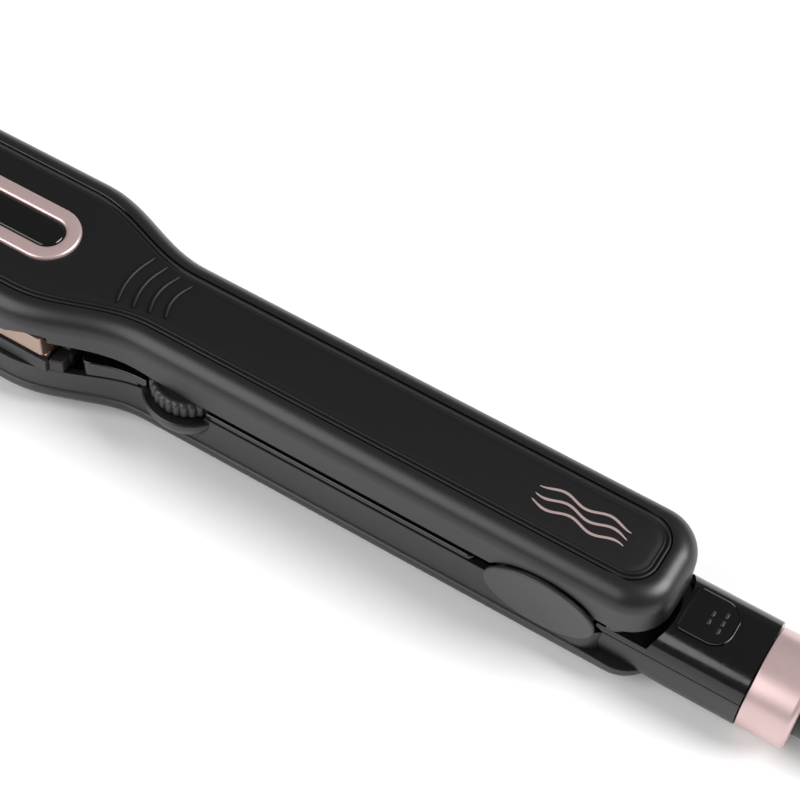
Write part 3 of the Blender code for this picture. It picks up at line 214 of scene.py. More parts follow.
def makeFinish(name, base, second, rough, metallic=0.0, grain=1.0, roughSpread=0.05, bump=0.02,
               stretch=(1, 1, 1), specular=0.5):
    # noise in object space: grain and bump are the pattern's size and depth in mm, second the colour it drifts to
    finish = bpy.data.materials.new(name)
    finish.use_nodes = True
    tree = finish.node_tree
    shader = tree.nodes["Principled BSDF"]
    shader.inputs["Metallic"].default_value = metallic
    shader.inputs["Specular IOR Level"].default_value = specular
    place = addNode(tree, "ShaderNodeTexCoord")
    turn = addNode(tree, "ShaderNodeMapping", {"Scale": stretch}, {"Vector": (place, "Object")})
    fine = addNode(tree, "ShaderNodeTexNoise", {"Scale": 1000 / grain, "Detail": 3.0, "Roughness": 0.6},
                   {"Vector": (turn, "Vector")})
    broad = addNode(tree, "ShaderNodeTexNoise", {"Scale": 28.0, "Detail": 2.0}, {"Vector": (place, "Object")})
    tint = addNode(tree, "ShaderNodeMix", {"data_type": "RGBA"}, {"Factor": (broad, "Fac")})
    tint.inputs[6].default_value, tint.inputs[7].default_value = colour(base), colour(second)
    spread = addNode(tree, "ShaderNodeMapRange", {"From Min": 0.3, "From Max": 0.7, "To Min": rough - roughSpread,
                     "To Max": rough + roughSpread}, {"Value": (fine, "Fac")})
    relief = addNode(tree, "ShaderNodeBump", {"Strength": 1.0, "Distance": bump / 1000}, {"Height": (fine, "Fac")})
    tree.links.new(tint.outputs[2], shader.inputs["Base Color"])
    tree.links.new(spread.outputs["Result"], shader.inputs["Roughness"])
    tree.links.new(relief.outputs["Normal"], shader.inputs["Normal"])
    finish.diffuse_color = colour(base)
    return finish


finishes = {
    # injection-moulded ABS from a spark-eroded mould: a soft sheen with a grain of about 0.25 mm
    "shell": makeFinish("satin moulded ABS", "#131314", "#101011", 0.37, grain=0.25, bump=0.004),
    # the same plastic sprayed with a soft-touch lacquer: nearly black, and little gloss
    "deck": makeFinish("soft-touch lacquer on ABS", "#0b090b", "#09080a", 0.50, grain=0.2, bump=0.003,
                       specular=0.35),
    # high-gloss ABS from a polished mould: mirror-like, with a faint orange peel of 2 mm
    "cover": makeFinish("polished moulded ABS", "#0e0c0e", "#0a090a", 0.13, grain=2.0, roughSpread=0.03, bump=0.004),
    # satin ABS in mid grey for the hinge caps; on the wheel and the slider's marks, which are gloss black plastic,
    # the mid grey is painted sheen
    "pad": makeFinish("satin grey ABS and painted sheen", "#2b2c2a", "#272826", 0.38, grain=0.25, bump=0.004),
    # vacuum-metallised plastic under tinted lacquer: a rose-gold metal with a soft blur
    "rose": makeFinish("rose-gold metallised plastic", "#cfb6b5", "#c9afad", 0.33, 0.6, 1.5, 0.02, 0.0),
    # clear-coated black acrylic: deep and glossy
    "window": makeFinish("black acrylic", "#0b0b0c", "#080809", 0.08, grain=3.0, roughSpread=0.02, bump=0.002),
    # peach ceramic coat sprayed on an aluminium extrusion: pearly and smooth, with a fine sparkle
    "coating": makeFinish("peach ceramic coat", "#ad9487", "#a58b7e", 0.30, 0.75, 0.3, 0.03, 0.001),
    # glass-filled PPS, matt black, with short fibres of about 0.4 mm that catch a little light
    "heat": makeFinish("glass-filled PPS", "#191718", "#221f20", 0.50, grain=0.4, bump=0.01, stretch=(1, 3, 3)),
    # plain extruded aluminium case, with drawing lines along it
    "heater": makeFinish("extruded aluminium", "#c9c9c6", "#bdbdb9", 0.38, 1.0, 0.5, 0.08, 0.004,
                         stretch=(0.05, 1, 1)),
    # rolled spring steel: grey, with rolling lines
    "spring": makeFinish("rolled spring steel", "#9d9c99", "#8c8b88", 0.32, 1.0, 0.4, 0.08, 0.003,
                         stretch=(0.1, 1, 1)),
    # zinc-plated steel: bluish grey with a mottled bloom
    "screw": makeFinish("zinc-plated steel", "#a3a5a8", "#8e9093", 0.36, 1.0, 0.5, 0.1, 0.003),
    # glass-epoxy board under green solder mask, with the cloth's 0.5 mm weave showing faintly
    "board": makeFinish("solder-masked laminate", "#1f5a34", "#1a4f2d", 0.35, grain=0.5, bump=0.008),
    # moulded nylon cases of small parts: dark grey and nearly matt
    "component": makeFinish("moulded nylon", "#2a2a2c", "#232325", 0.48, grain=0.3, bump=0.005),
    # moulded polyester box of a film capacitor: plain yellow with a little gloss
    "capacitor": makeFinish("yellow polyester box", "#c8a73a", "#bf9d31", 0.35, grain=0.6, bump=0.004),
    # glass-braid sleeve soaked in silicone: off-white, with a 0.6 mm plait
    "sleeve": makeFinish("silicone-glass sleeve", "#d9d6cc", "#cbc7bc", 0.6, grain=0.6, roughSpread=0.08, bump=0.03),
    # compression-moulded silicone: dull red with a powdery bloom
    "silicone": makeFinish("moulded silicone", "#8d3a2b", "#823425", 0.58, grain=0.5, bump=0.01),
    # stamped brass, slightly dulled
    "brass": makeFinish("stamped brass", "#c9a258", "#b89049", 0.3, 1.0, 0.6, 0.08, 0.003),
    # bright nickel over turned brass, with turning lines of 0.3 mm
    "pin": makeFinish("nickel-plated brass", "#d8d4cc", "#cbc7bf", 0.2, 1.0, 0.3, 0.05, 0.002,
                      stretch=(1, 0.1, 0.1)),
    # extruded PVC sheath: satin black with a faint flow texture
    "sheath": makeFinish("extruded PVC", "#191a19", "#141514", 0.44, grain=0.4, roughSpread=0.06, bump=0.008),
}
print("finishes made:", len(finishes))

# The camera looks down at the near side and is turned a little about its own axis.
view = {"place": (0.15402, -0.25239, 0.45183), "lens": 95.18, "right": (0.855111, 0.516236, 0.047806),
        "up": (-0.447058, 0.687532, 0.572223), "back": (0.262534, -0.510686, 0.818703)}
lensData = bpy.data.cameras.new("viewCamera")
lensData.lens, lensData.sensor_width, lensData.clip_start = view["lens"], 36.0, 0.01
camera = bpy.data.objects.new("viewCamera", lensData)
camera.location = view["place"]
camera.rotation_euler = Matrix(np.column_stack([view["right"], view["up"], view["back"]]).tolist()).to_euler()
bpy.context.scene.collection.objects.link(camera)
bpy.context.scene.camera = camera

# The cord: a lead from the boot, a folded hank in four layers under a tie, and a short tail to the plug.
cord = {"radius": 2.5, "length": 1.8, "exit": (342.9, 0.0, 12.9), "hankStart": 404.6, "hankEnd": 514.6, "side": 17.5,
        "inner": 12.5, "floor": 3.6, "pitch": 5.0, "nearTurn": 23.5, "farTurn": 20.0,
        "lead": ((342.9, 0.0, 12.9), (349.6, 0.0, 12.8), (355.6, -0.4, 11.8), (361.6, -1.8, 9.9), (367.6, -4.0, 7.4),
                 (373.6, -6.8, 5.1), (379.6, -9.8, 3.4), (385.6, -12.8, 2.8), (391.6, -15.2, 2.9),
                 (397.6, -16.8, 3.3), (404.3, -17.5, 3.6)),
        "tail": ((514.9, -17.5, 18.6), (521.6, -16.8, 17.8), (528.6, -14.7, 15.7), (535.6, -11.8, 12.7),
                 (542.6, -8.8, 9.6), (549.6, -6.7, 7.5), (556.3, -6.0, 6.7))}


def splinePath(points, steps):
    # Catmull-Rom through the points: each span is a cubic with the tangents of its neighbours
    p = np.asarray(points, float)
    p = np.vstack([2 * p[0] - p[1], p, 2 * p[-1] - p[-2]])
    t = (np.arange(steps) / steps)[None, :, None]
    a, b, c, d = (p[i:len(p) - 3 + i][:, None, :] for i in range(4))
    spans = 0.5 * (2 * b + (c - a) * t + (2 * a - 5 * b + 4 * c - d) * t ** 2 + (3 * b - a - 3 * c + d) * t ** 3)
    return np.vstack([spans.reshape(-1, 3), p[-2]])


def hankPath():
    # straight runs to and fro, each joined to the next by a half round; a lap lies beside or on the last
    outer, inner = cord["side"], cord["inner"]
    runs = [(-outer, 0), (outer, 0), (-inner, 0), (inner, 0), (-inner, 1), (inner, 1), (-outer, 1), (outer, 1),
            (-outer, 2), (outer, 2), (-inner, 2), (inner, 2), (-inner, 3), (inner, 3), (-outer, 3)]
    near, far = cord["hankStart"] + cord["nearTurn"], cord["hankEnd"] - cord["farTurn"]
    path, turn = [], np.linspace(0, np.pi, 27)[1:-1]
    for k, (y, layer) in enumerate(runs):
        z = cord["floor"] + cord["pitch"] * layer
        start = cord["hankStart"] + 0.5 if k == 0 else (near if k % 2 == 0 else far)
        end = cord["hankEnd"] - 0.5 if k == len(runs) - 1 else (far if k % 2 == 0 else near)
        path.append(np.column_stack([np.linspace(start, end, 7), np.full(7, y), np.full(7, z)]))
        if k < len(runs) - 1:
            y2, layer2 = runs[k + 1]
            radius, rise = abs(y2 - y) / 2, (layer2 - layer) * cord["pitch"]
            push = 0.0 if k % 2 == 0 else (3.5 if radius > 17 else 1.5 if radius > 13 else 0.0)
            out = end + (1 if k % 2 == 0 else -1) * (radius * np.sin(turn) + push * np.sin(turn) ** 0.5)
            across = (y + y2) / 2 + (y - y2) / 2 * np.cos(turn)
            path.append(np.column_stack([out, across, z + rise * smoothStep(turn / np.pi)]))
    return np.vstack(path)


def makeCord():
    path = np.vstack([splinePath(cord["lead"], 4), hankPath(), splinePath(cord["tail"], 4)])
    metres = (path - [body["middle"], 0, 0]) / 1000
    line = bpy.data.curves.new("cordSheath", "CURVE")
    line.dimensions, line.bevel_depth, line.bevel_resolution = "3D", cord["radius"] / 1000, 5
    line.use_fill_caps = True
    spline = line.splines.new("POLY")
    spline.points.add(len(metres) - 1)
    spline.points.foreach_set("co", np.column_stack([metres, np.ones(len(metres))]).ravel())
    spline.use_smooth = True
    made = bpy.data.objects.new("cordSheath", line)
    bpy.context.scene.collection.objects.link(made)
    measured = float(np.linalg.norm(np.diff(metres, axis=0), axis=1).sum())
    print("cord length:", round(measured, 3))
    return made


plug = {"start": 556.6, "length": 34.0, "half": 12.5, "taper": 5.0, "thick": 13.0, "round": 3.0, "lift": 0.2,
        "y": -6.0, "pinRadius": 2.0, "pinReach": 9.5}


def makePlug():
    # rings stacked in height, wider towards the pins, with every upright edge rounded
    end = plug["start"] + plug["length"]

    def half(s):
        return plug["half"] - plug["taper"] * (1 - smoothStep((s - plug["start"]) / 20))

    edge, lift = plug["round"], plug["lift"]
    turn = np.linspace(0, np.pi / 2, 7)
    low = [(edge * (1 - math.sin(t)), lift + edge * (1 - math.cos(t))) for t in turn]
    high = [(edge * (1 - math.cos(t)), plug["thick"] + lift - edge + edge * math.sin(t)) for t in turn]
    rings = [atHeight(planOutline(plug["start"], end, half, 3.2, 3.2, inset, 30, 6), z) for inset, z in low + high]
    rings = [ring + [0, plug["y"], 0] for ring in rings]
    return stackRings("plugBody", rings, 40)


strap = {"low": 0.15, "high": 22.4, "half": 21.2, "corner": 5.0, "wide": 8.0, "thick": 0.85, "edge": 0.4}


def makeTie():
    # a strap's flat profile carried along the stadium that goes round the hank
    middle = (cord["hankStart"] + cord["hankEnd"]) / 2
    low, high, half, corner = strap["low"], strap["high"], strap["half"], strap["corner"]
    turn = np.linspace(0, np.pi / 2, 8)
    centres = ((half - corner, high - corner, 0), (-half + corner, high - corner, 1),
               (-half + corner, low + corner, 2), (half - corner, low + corner, 3))
    quarters = [(cy, cz, turn + q * np.pi / 2) for cy, cz, q in centres]
    loop = np.vstack([np.column_stack([cy + corner * np.cos(t), cz + corner * np.sin(t)]) for cy, cz, t in quarters])
    middleYZ = np.array([0, (low + high) / 2])
    away = loop - middleYZ
    away /= np.linalg.norm(away, axis=1)[:, None]
    edge, thick = strap["wide"] / 2, strap["thick"]
    flat = edge - strap["edge"]
    profile = np.array([(-edge, 0.25), (-flat, 0.0), (flat, 0.0), (edge, 0.25),
                        (edge, thick - 0.25), (flat, thick), (-flat, thick), (-edge, thick - 0.25)])
    grid = np.zeros((len(loop), len(profile), 3))
    grid[..., 0] = middle + profile[:, 0]
    grid[..., 1:] = loop[:, None, :] - away[:, None, :] * profile[None, :, 1:2]
    return makeMesh("hankTie", grid, gridFaces(len(loop), len(profile), True, True), 40)


sheath = settle(makeCord(), "lower_arm", "cord_rubber", finishes["sheath"], "cord_lead", "cord_hank", "cord_tail")
plugBody = settle(makePlug(), "lower_arm", "cord_rubber", finishes["sheath"], "plug_body")
hankTie = settle(makeTie(), "lower_arm", "cord_rubber", finishes["sheath"], "hank_tie")
for index, side in ((1, -1), (2, 1)):
    end, r = plug["start"] + plug["length"], plug["pinRadius"]
    profile = [(end - 1.5, r - 0.1), (end + 0.2, r), (end + 10, r), (end + 10.2, r - 0.12), (end + 17.2, r - 0.12),
               (end + 18.4, r - 0.45), (end + 18.9, r - 1.1), (end + 19, r - 1.7)]
    pinPlace = (0, plug["y"] + side * plug["pinReach"], plug["thick"] / 2 + plug["lift"])
    pin = turned(f"plugPin{index}", profile, "x", pinPlace, 32)
    settle(pin, "lower_arm", "pin_plating", finishes["pin"], f"plug_pin_{index}")
print("cord, tie and plug made")

# Upper arm: a shell with a broad round along its top edge, open below.
upperShell = {"filletRadius": 5.7, "headEdge": 29.2, "gripEdge": 26.2, "tip": 13.0, "tail": 11.5, "lip": 0.3,
              "ceiling": 35.3, "notchStart": 93.0, "notchEnd": 108.0, "notchHalf": 30.0, "notchTop": 31.6,
              "scallopLong": 15.5, "scallopTall": 9.83, "flangeRoom": ((13, -22.9, 15), (107, 22.9, 30.7))}
deck = {"headHalf": 18.1, "gripHalf": 9.6, "start": 6.5, "end": 266.3, "thick": 1.6, "crown": 0.7, "front": 8.0,
        "rear": 7.0, "border": 1.9, "beadRise": 1.4, "ribCount": 4, "ribAt": 120.2, "ribStep": 4.25, "ribHalf": 8.1,
        "ribShrink": 0.8, "ribBulge": 1.8, "ribWidth": 1.1, "ribProud": 0.5}


def deckHalf(s):
    return flare(s, deck["headHalf"], deck["gripHalf"])


def upperEdge(s):
    return upperShell["headEdge"] + (upperShell["gripEdge"] - upperShell["headEdge"]) * smoothStep((s - 105) / 45)


def armOutline(inset=0.0, end=None):
    return planOutline(0.0, end or body["armEnd"], armHalf, upperShell["tip"], upperShell["tail"], inset)


def deckOutline(inset=0.0):
    return planOutline(deck["start"], deck["end"], deckHalf, deck["front"], deck["rear"], inset)


def keepOutside(ring):
    # the sides of a ring stay outside the panel's pocket, because the round would cut into it at the grip
    edge = deckHalf(ring[:, 0]) + body["gap"] + 0.03
    side = (ring[:, 0] > 16) & (ring[:, 0] < 258)
    wide = np.where(side, np.maximum(np.abs(ring[:, 1]), edge), np.abs(ring[:, 1]))
    return np.column_stack([ring[:, 0], np.sign(ring[:, 1]) * wide, ring[:, 2]])


def makeUpperShell():
    # rings from the panel's pocket, out over the top's round, down the wall, round its edge and up inside
    top, base, lip = body["top"], body["top"] - upperShell["filletRadius"], upperShell["lip"]
    pocket = top - deck["thick"] - body["gap"]
    rings = [atHeight(deckOutline(-body["gap"]), z) for z in (pocket, top - 0.12)]
    rounds = filletPairs(base, upperShell["filletRadius"], 1, 13)[::-1]
    rings += [keepOutside(atHeight(armOutline(inset), z)) for inset, z in rounds]
    rings.append(atHeight(armOutline(), lambda s: upperEdge(s) + lip))
    rings.append(atHeight(armOutline(lip * 0.3), lambda s: upperEdge(s) + lip * 0.3))
    rings.append(atHeight(armOutline(lip), upperEdge))
    rings.append(atHeight(armOutline(body["wall"]), upperEdge))
    rings.append(atHeight(armOutline(body["wall"]), base - 1))
    rings.append(atHeight(armOutline(upperShell["filletRadius"] - 0.5), upperShell["ceiling"]))
    shell = stackRings("upperShell", rings)
    # a sloped prism across the body leaves room for the plates' rear ends
    s0, s1 = upperShell["notchStart"], upperShell["notchEnd"]
    half, high = upperShell["notchHalf"], upperShell["notchTop"]
    slope = np.array([(s0 + 3, 15), (s1 + 1, 15), (s1, high - 0.5), (s1 - 1.5, high), (s0 + 9, high - 0.2),
                      (s0 + 6, high - 1.1), (s0 + 3, high - 2.45)])
    sides = [np.column_stack([slope[:, 0], np.full(len(slope), y), slope[:, 1]]) for y in (-half, half)]
    corners = len(slope)
    caps = [list(range(corners)), list(range(corners, 2 * corners))]
    notch = makeMesh("notch", np.vstack(sides), gridFaces(2, corners) + caps)
    room = boxSolid("flangeRoom", *upperShell["flangeRoom"])
    scallops = []
    for side in (-1, 1):
        ends = [(side * 12.4, upperShell["scallopLong"]), (side * 18, upperShell["scallopLong"])]
        scallops.append(turned(f"scallop{side}", ends, "y", (body["hinge"], 0, body["split"]), 96,
                               upperShell["scallopTall"] / upperShell["scallopLong"]))
    return cut(shell, notch, room, *scallops)


def makeDeck():
    # a raised double bead runs round the border; inside it the panel is crowned across
    beads = ((0.0, -0.35), (0.12, -0.08), (0.3, 0.06), (0.5, 0.12), (0.7, 0.08), (0.85, -0.05), (1.0, -0.22),
             (1.2, -0.24), (1.32, -0.08), (1.45, 0.06), (1.6, 0.1), (1.75, 0.06), (1.9, 0.0))
    top, border = body["top"], deck["border"]
    rings = [atHeight(deckOutline(), top - deck["thick"])]
    rings += [atHeight(deckOutline(inset), top + deck["beadRise"] * rise) for inset, rise in beads]
    for share in np.linspace(0.97, 0.04, 16):
        reach = border + (1 - share) * 7

        def half(s):
            return (deckHalf(s) - border) * share

        def height(s):
            wide = deckHalf(s)
            crown = deck["crown"] * wide / deck["headHalf"]
            return top + crown * (1 - (half(s) / wide) ** 2) * min(1, (1 - share) * 6)

        outline = planOutline(deck["start"] + reach, deck["end"] - reach, half, (deck["front"] - border) * share,
                              (deck["rear"] - border) * share)
        rings.append(atHeight(outline, height))
    return stackRings("deckPanel", rings, 50)


def sweptArc(s, half, bulge, width, low, high, count=25):
    # a rounded bar's profile carried along a shallow arc across the body that bulges towards the tip
    radius = (half * half + bulge * bulge) / (2 * bulge)
    turn = np.linspace(-1, 1, count) * math.asin(half / radius)
    angle = np.linspace(0, np.pi, 9)
    profile = np.column_stack([np.cos(angle) * width / 2, low + (high - low) * (0.35 + 0.65 * np.sin(angle))])
    profile = np.vstack([[width / 2, low], profile, [-width / 2, low]])
    reach = radius + profile[None, :, 0] * np.sqrt(np.clip(1 - (turn[:, None] / turn[-1]) ** 8, 0.02, 1))
    grid = np.zeros((count, len(profile), 3))
    grid[..., 0] = s + radius - bulge - reach * np.cos(turn)[:, None]
    grid[..., 1] = reach * np.sin(turn)[:, None]
    grid[..., 2] = profile[None, :, 1]
    return grid


def makeRibs():
    # arcs across the neck, each a little shorter than the one before
    low, high = body["top"] + 0.1, body["top"] + deck["crown"] + deck["ribProud"] - 0.15
    ribs = [sweptArc(deck["ribAt"] + deck["ribStep"] * i, deck["ribHalf"] - deck["ribShrink"] * i, deck["ribBulge"],
                     deck["ribWidth"], low, high) for i in range(deck["ribCount"])]
    return closedTubes("deckRibs", ribs, 50)


trim = {"front": 36.0, "rear": 93.4, "outer": 8.5, "inner": 4.5, "seat": 38.9, "top": 40.9}
motif = {"start": 233.0, "end": 257.0, "lines": (-2.6, 0.0, 2.6), "wave": 0.75, "pitch": 12.0, "width": 0.7}


def stadiumPath(count=48):
    # unit direction and centre of each point round a stadium; a point lies at centre + radius * direction
    turn = np.linspace(-np.pi / 2, np.pi / 2, count)
    rear = np.column_stack([np.cos(turn), np.sin(turn)])
    away = np.vstack([rear, -rear])
    centre = np.repeat([[trim["rear"], 0.0], [trim["front"], 0.0]], count, 0)
    return centre, away


def makeRing():
    # a crowned profile carried round the stadium
    centre, away = stadiumPath()
    top, seat, r0, r1 = trim["top"], trim["seat"], trim["outer"], trim["inner"]
    profile = np.array([(r0, seat), (r0, top - 0.75), (r0 - 0.08, top - 0.45), (r0 - 0.3, top - 0.2),
                        (r0 - 0.7, top - 0.06), (r0 - 1.9, top), (r1 + 0.9, top - 0.08), (r1 + 0.5, top - 0.2),
                        (r1 + 0.2, top - 0.4), (r1 + 0.02, top - 0.7), (r1, seat)])
    grid = np.zeros((len(centre), len(profile), 3))
    grid[..., :2] = centre[:, None, :] + away[:, None, :] * profile[None, :, 0:1]
    grid[..., 2] = profile[None, :, 1]
    return makeMesh("trimRing", grid, gridFaces(len(centre), len(profile), True, True), 40)


def makeWindow():
    # a low dome over the stadium: its height falls with the square of the distance from the middle line
    centre, away = stadiumPath()
    top, radius = trim["top"] - 0.4, trim["inner"] - body["gap"]
    profile = [(radius, trim["seat"]), (radius, top - 0.45), (radius - 0.08, top - 0.25), (radius - 0.3, top - 0.1)]
    profile += [(radius * k, top + 0.15 * (1 - k * k)) for k in (0.85, 0.65, 0.45, 0.25, 0.08)]
    rings = [np.column_stack([centre + away * r, np.full(len(centre), z)]) for r, z in profile]
    return closedTubes("trimWindow", [np.stack(rings)], 40)


def makeMotif():
    # three thin strips that wave along the deck's rear: across = line + wave * sin(length)
    s = np.linspace(motif["start"], motif["end"], 61)
    flat = deck["gripHalf"]
    strips = []
    for k, line in enumerate(motif["lines"]):
        fade = np.clip(np.minimum(s - s[0], s[-1] - s) / 3, 0.05, 1) ** 0.5
        middle = line + motif["wave"] * np.sin(2 * np.pi * (s + 2 * k) / motif["pitch"])
        wide = motif["width"] / 2 * fade
        crown = body["top"] + deck["crown"] * flat / deck["headHalf"] * (1 - (middle / flat) ** 2)
        profile = ((-1, -0.3), (-1, 0.03), (-0.6, 0.07), (0.6, 0.07), (1, 0.03), (1, -0.3))
        strips.append(np.stack([np.column_stack([s, middle + wide * u, crown + v]) for u, v in profile], 1))
    return closedTubes("deckMotif", strips, 50)


settle(makeUpperShell(), "upper_arm", "shell_plastic", finishes["shell"], "upper_shell")
settle(makeDeck(), "upper_arm", "deck_plastic", finishes["deck"], "deck_panel", sharp=50)
settle(makeRibs(), "upper_arm", "deck_plastic", finishes["deck"], sharp=50)
settle(makeRing(), "upper_arm", "rose_metal", finishes["rose"], "trim_ring", sharp=45)
settle(makeWindow(), "upper_arm", "window_plastic", finishes["window"], "trim_window", sharp=45)
settle(makeMotif(), "upper_arm", "rose_metal", finishes["rose"], sharp=50)
print("upper arm made")

# Heated plates: a flat working face with rounded long edges, and a lip whose side shows.
plate = {"start": 6.4, "end": 106.4, "upperHalf": 22.6, "lowerHalf": 20.9, "edge": 2.2, "upperLip": 8.3,
         "lowerLip": 2.6, "face": 0.15, "backHalf": 19.0, "back": 5.9, "wall": 1.0}


def makePlate(name, side, wide, lip):
    # the section from the middle of the working face out round the long edge and up the lip, then back in
    turn = np.linspace(0, np.pi / 2, 9)
    edge, face = plate["edge"], plate["face"]
    section = [(0.0, face)] + [(wide - edge * (1 - math.sin(t)), face + edge * (1 - math.cos(t))) for t in turn]
    wall, back, backHalf = plate["wall"], plate["back"], plate["backHalf"]
    if side > 0:
        section += [(wide, lip), (wide - wall, lip), (wide - wall, back), (0.0, back)]
    else:
        section += [(wide, lip - 0.15), (wide - 0.15, lip), (backHalf, lip), (backHalf, back), (0.0, back)]
    half = np.array(section)
    full = np.vstack([half, half[-2:0:-1] * [-1, 1]])
    ends = ((0.0, 0.75), (0.08, 0.4), (0.3, 0.12), (0.7, 0.0))
    places = [(plate["start"] + d, inset) for d, inset in ends]
    places += [(plate["end"] - d, inset) for d, inset in ends[::-1]]
    grid = np.stack([np.column_stack([np.full(len(full), s), full[:, 0] * (1 - inset / wide),
                                      body["split"] + side * (full[:, 1] + inset * 0.4 * (full[:, 1] < 1))])
                     for s, inset in places])
    rows, columns = grid.shape[:2]
    k = np.arange(columns // 2)
    caps = []
    for row in (0, rows - 1):
        first = row * columns
        caps += [[first + a, first + a + 1, first + (columns - a - 1) % columns, first + (columns - a) % columns]
                 for a in k[1:-1]] + [[first, first + 1, first + columns - 1]]
    return makeMesh(name, grid, gridFaces(rows, columns) + caps, 40)


settle(makePlate("upperPlate", 1, plate["upperHalf"], plate["upperLip"]), "upper_arm", "plate_coating",
       finishes["coating"], "upper_plate", sharp=45)
settle(makePlate("lowerPlate", -1, plate["lowerHalf"], plate["lowerLip"]), "floating_plate", "plate_coating",
       finishes["coating"], "lower_plate", sharp=45)
print("plates made")

# Lower arm: a rounded tray with a ledge along its wall, a belly under it, and the rear body behind the hinge.
lowerShell = {"headEdge": 17.1, "gripEdge": 21.0, "inset": 0.5, "ledge": 9.2, "skirtEnd": 273.5, "trayEnd": 264.0,
              "edgeRadius": 4.0, "floor": 3.7, "tail": 10.0, "earLong": 13.2, "earTall": 8.2,
              "bellyStart": 22, "bellyEnd": 112, "screws": (119.0, 214.0, 264.5), "headRoom": 2.9, "shankRoom": 1.6,
              "neckRadius": 10.2, "boreRadius": 8.3, "pinRoom": 1.9}
rear = {"start": 252.0, "half": 12.8, "top": 25.3, "power": 2.7, "centre": 12.9, "parting": 17.6, "blend": 28.0}
wheel = {"at": 141.0, "y": -7.7, "radius": 10.4, "low": 20.3, "teeth": 30, "tooth": 0.55, "clear": 0.7}


def lowerEdge(s):
    return lowerShell["headEdge"] + (lowerShell["gripEdge"] - lowerShell["headEdge"]) * smoothStep((s - 112) / 36)


def trayOutline(inset=0.0, end=None):
    return planOutline(0.0, end or lowerShell["trayEnd"], armHalf, 13.0, lowerShell["tail"], inset)


def rearFloor(s):
    return 4.1 * (1 - smoothStep((s - rear["start"]) / rear["blend"]))


def rearSolid(name, inset, start, end, count=120, stations=30):
    # superellipse sections: power 2.7 above the axis and cut flat on top, 2.1 below it
    turn = 2 * np.pi * (np.arange(count) + 0.5) / count
    c, w = np.cos(turn), np.sin(turn)
    s = start + (end - start) * np.linspace(0, 1, stations) ** 1.3
    tall = np.where(w[None, :] > 0, rear["centre"] - inset, rear["centre"] - rearFloor(s)[:, None] - inset)
    power = np.where(w > 0, rear["power"], 2.1)[None, :]
    reach = (np.abs(c / (rear["half"] - inset)) ** power + np.abs(w / tall) ** power) ** (-1 / power)
    height = np.minimum(rear["centre"] + reach * w, rear["top"] - inset)
    grid = np.stack([np.repeat(s[:, None], count, 1), reach * c, height], -1)
    return closedTubes(name, [grid], 40)


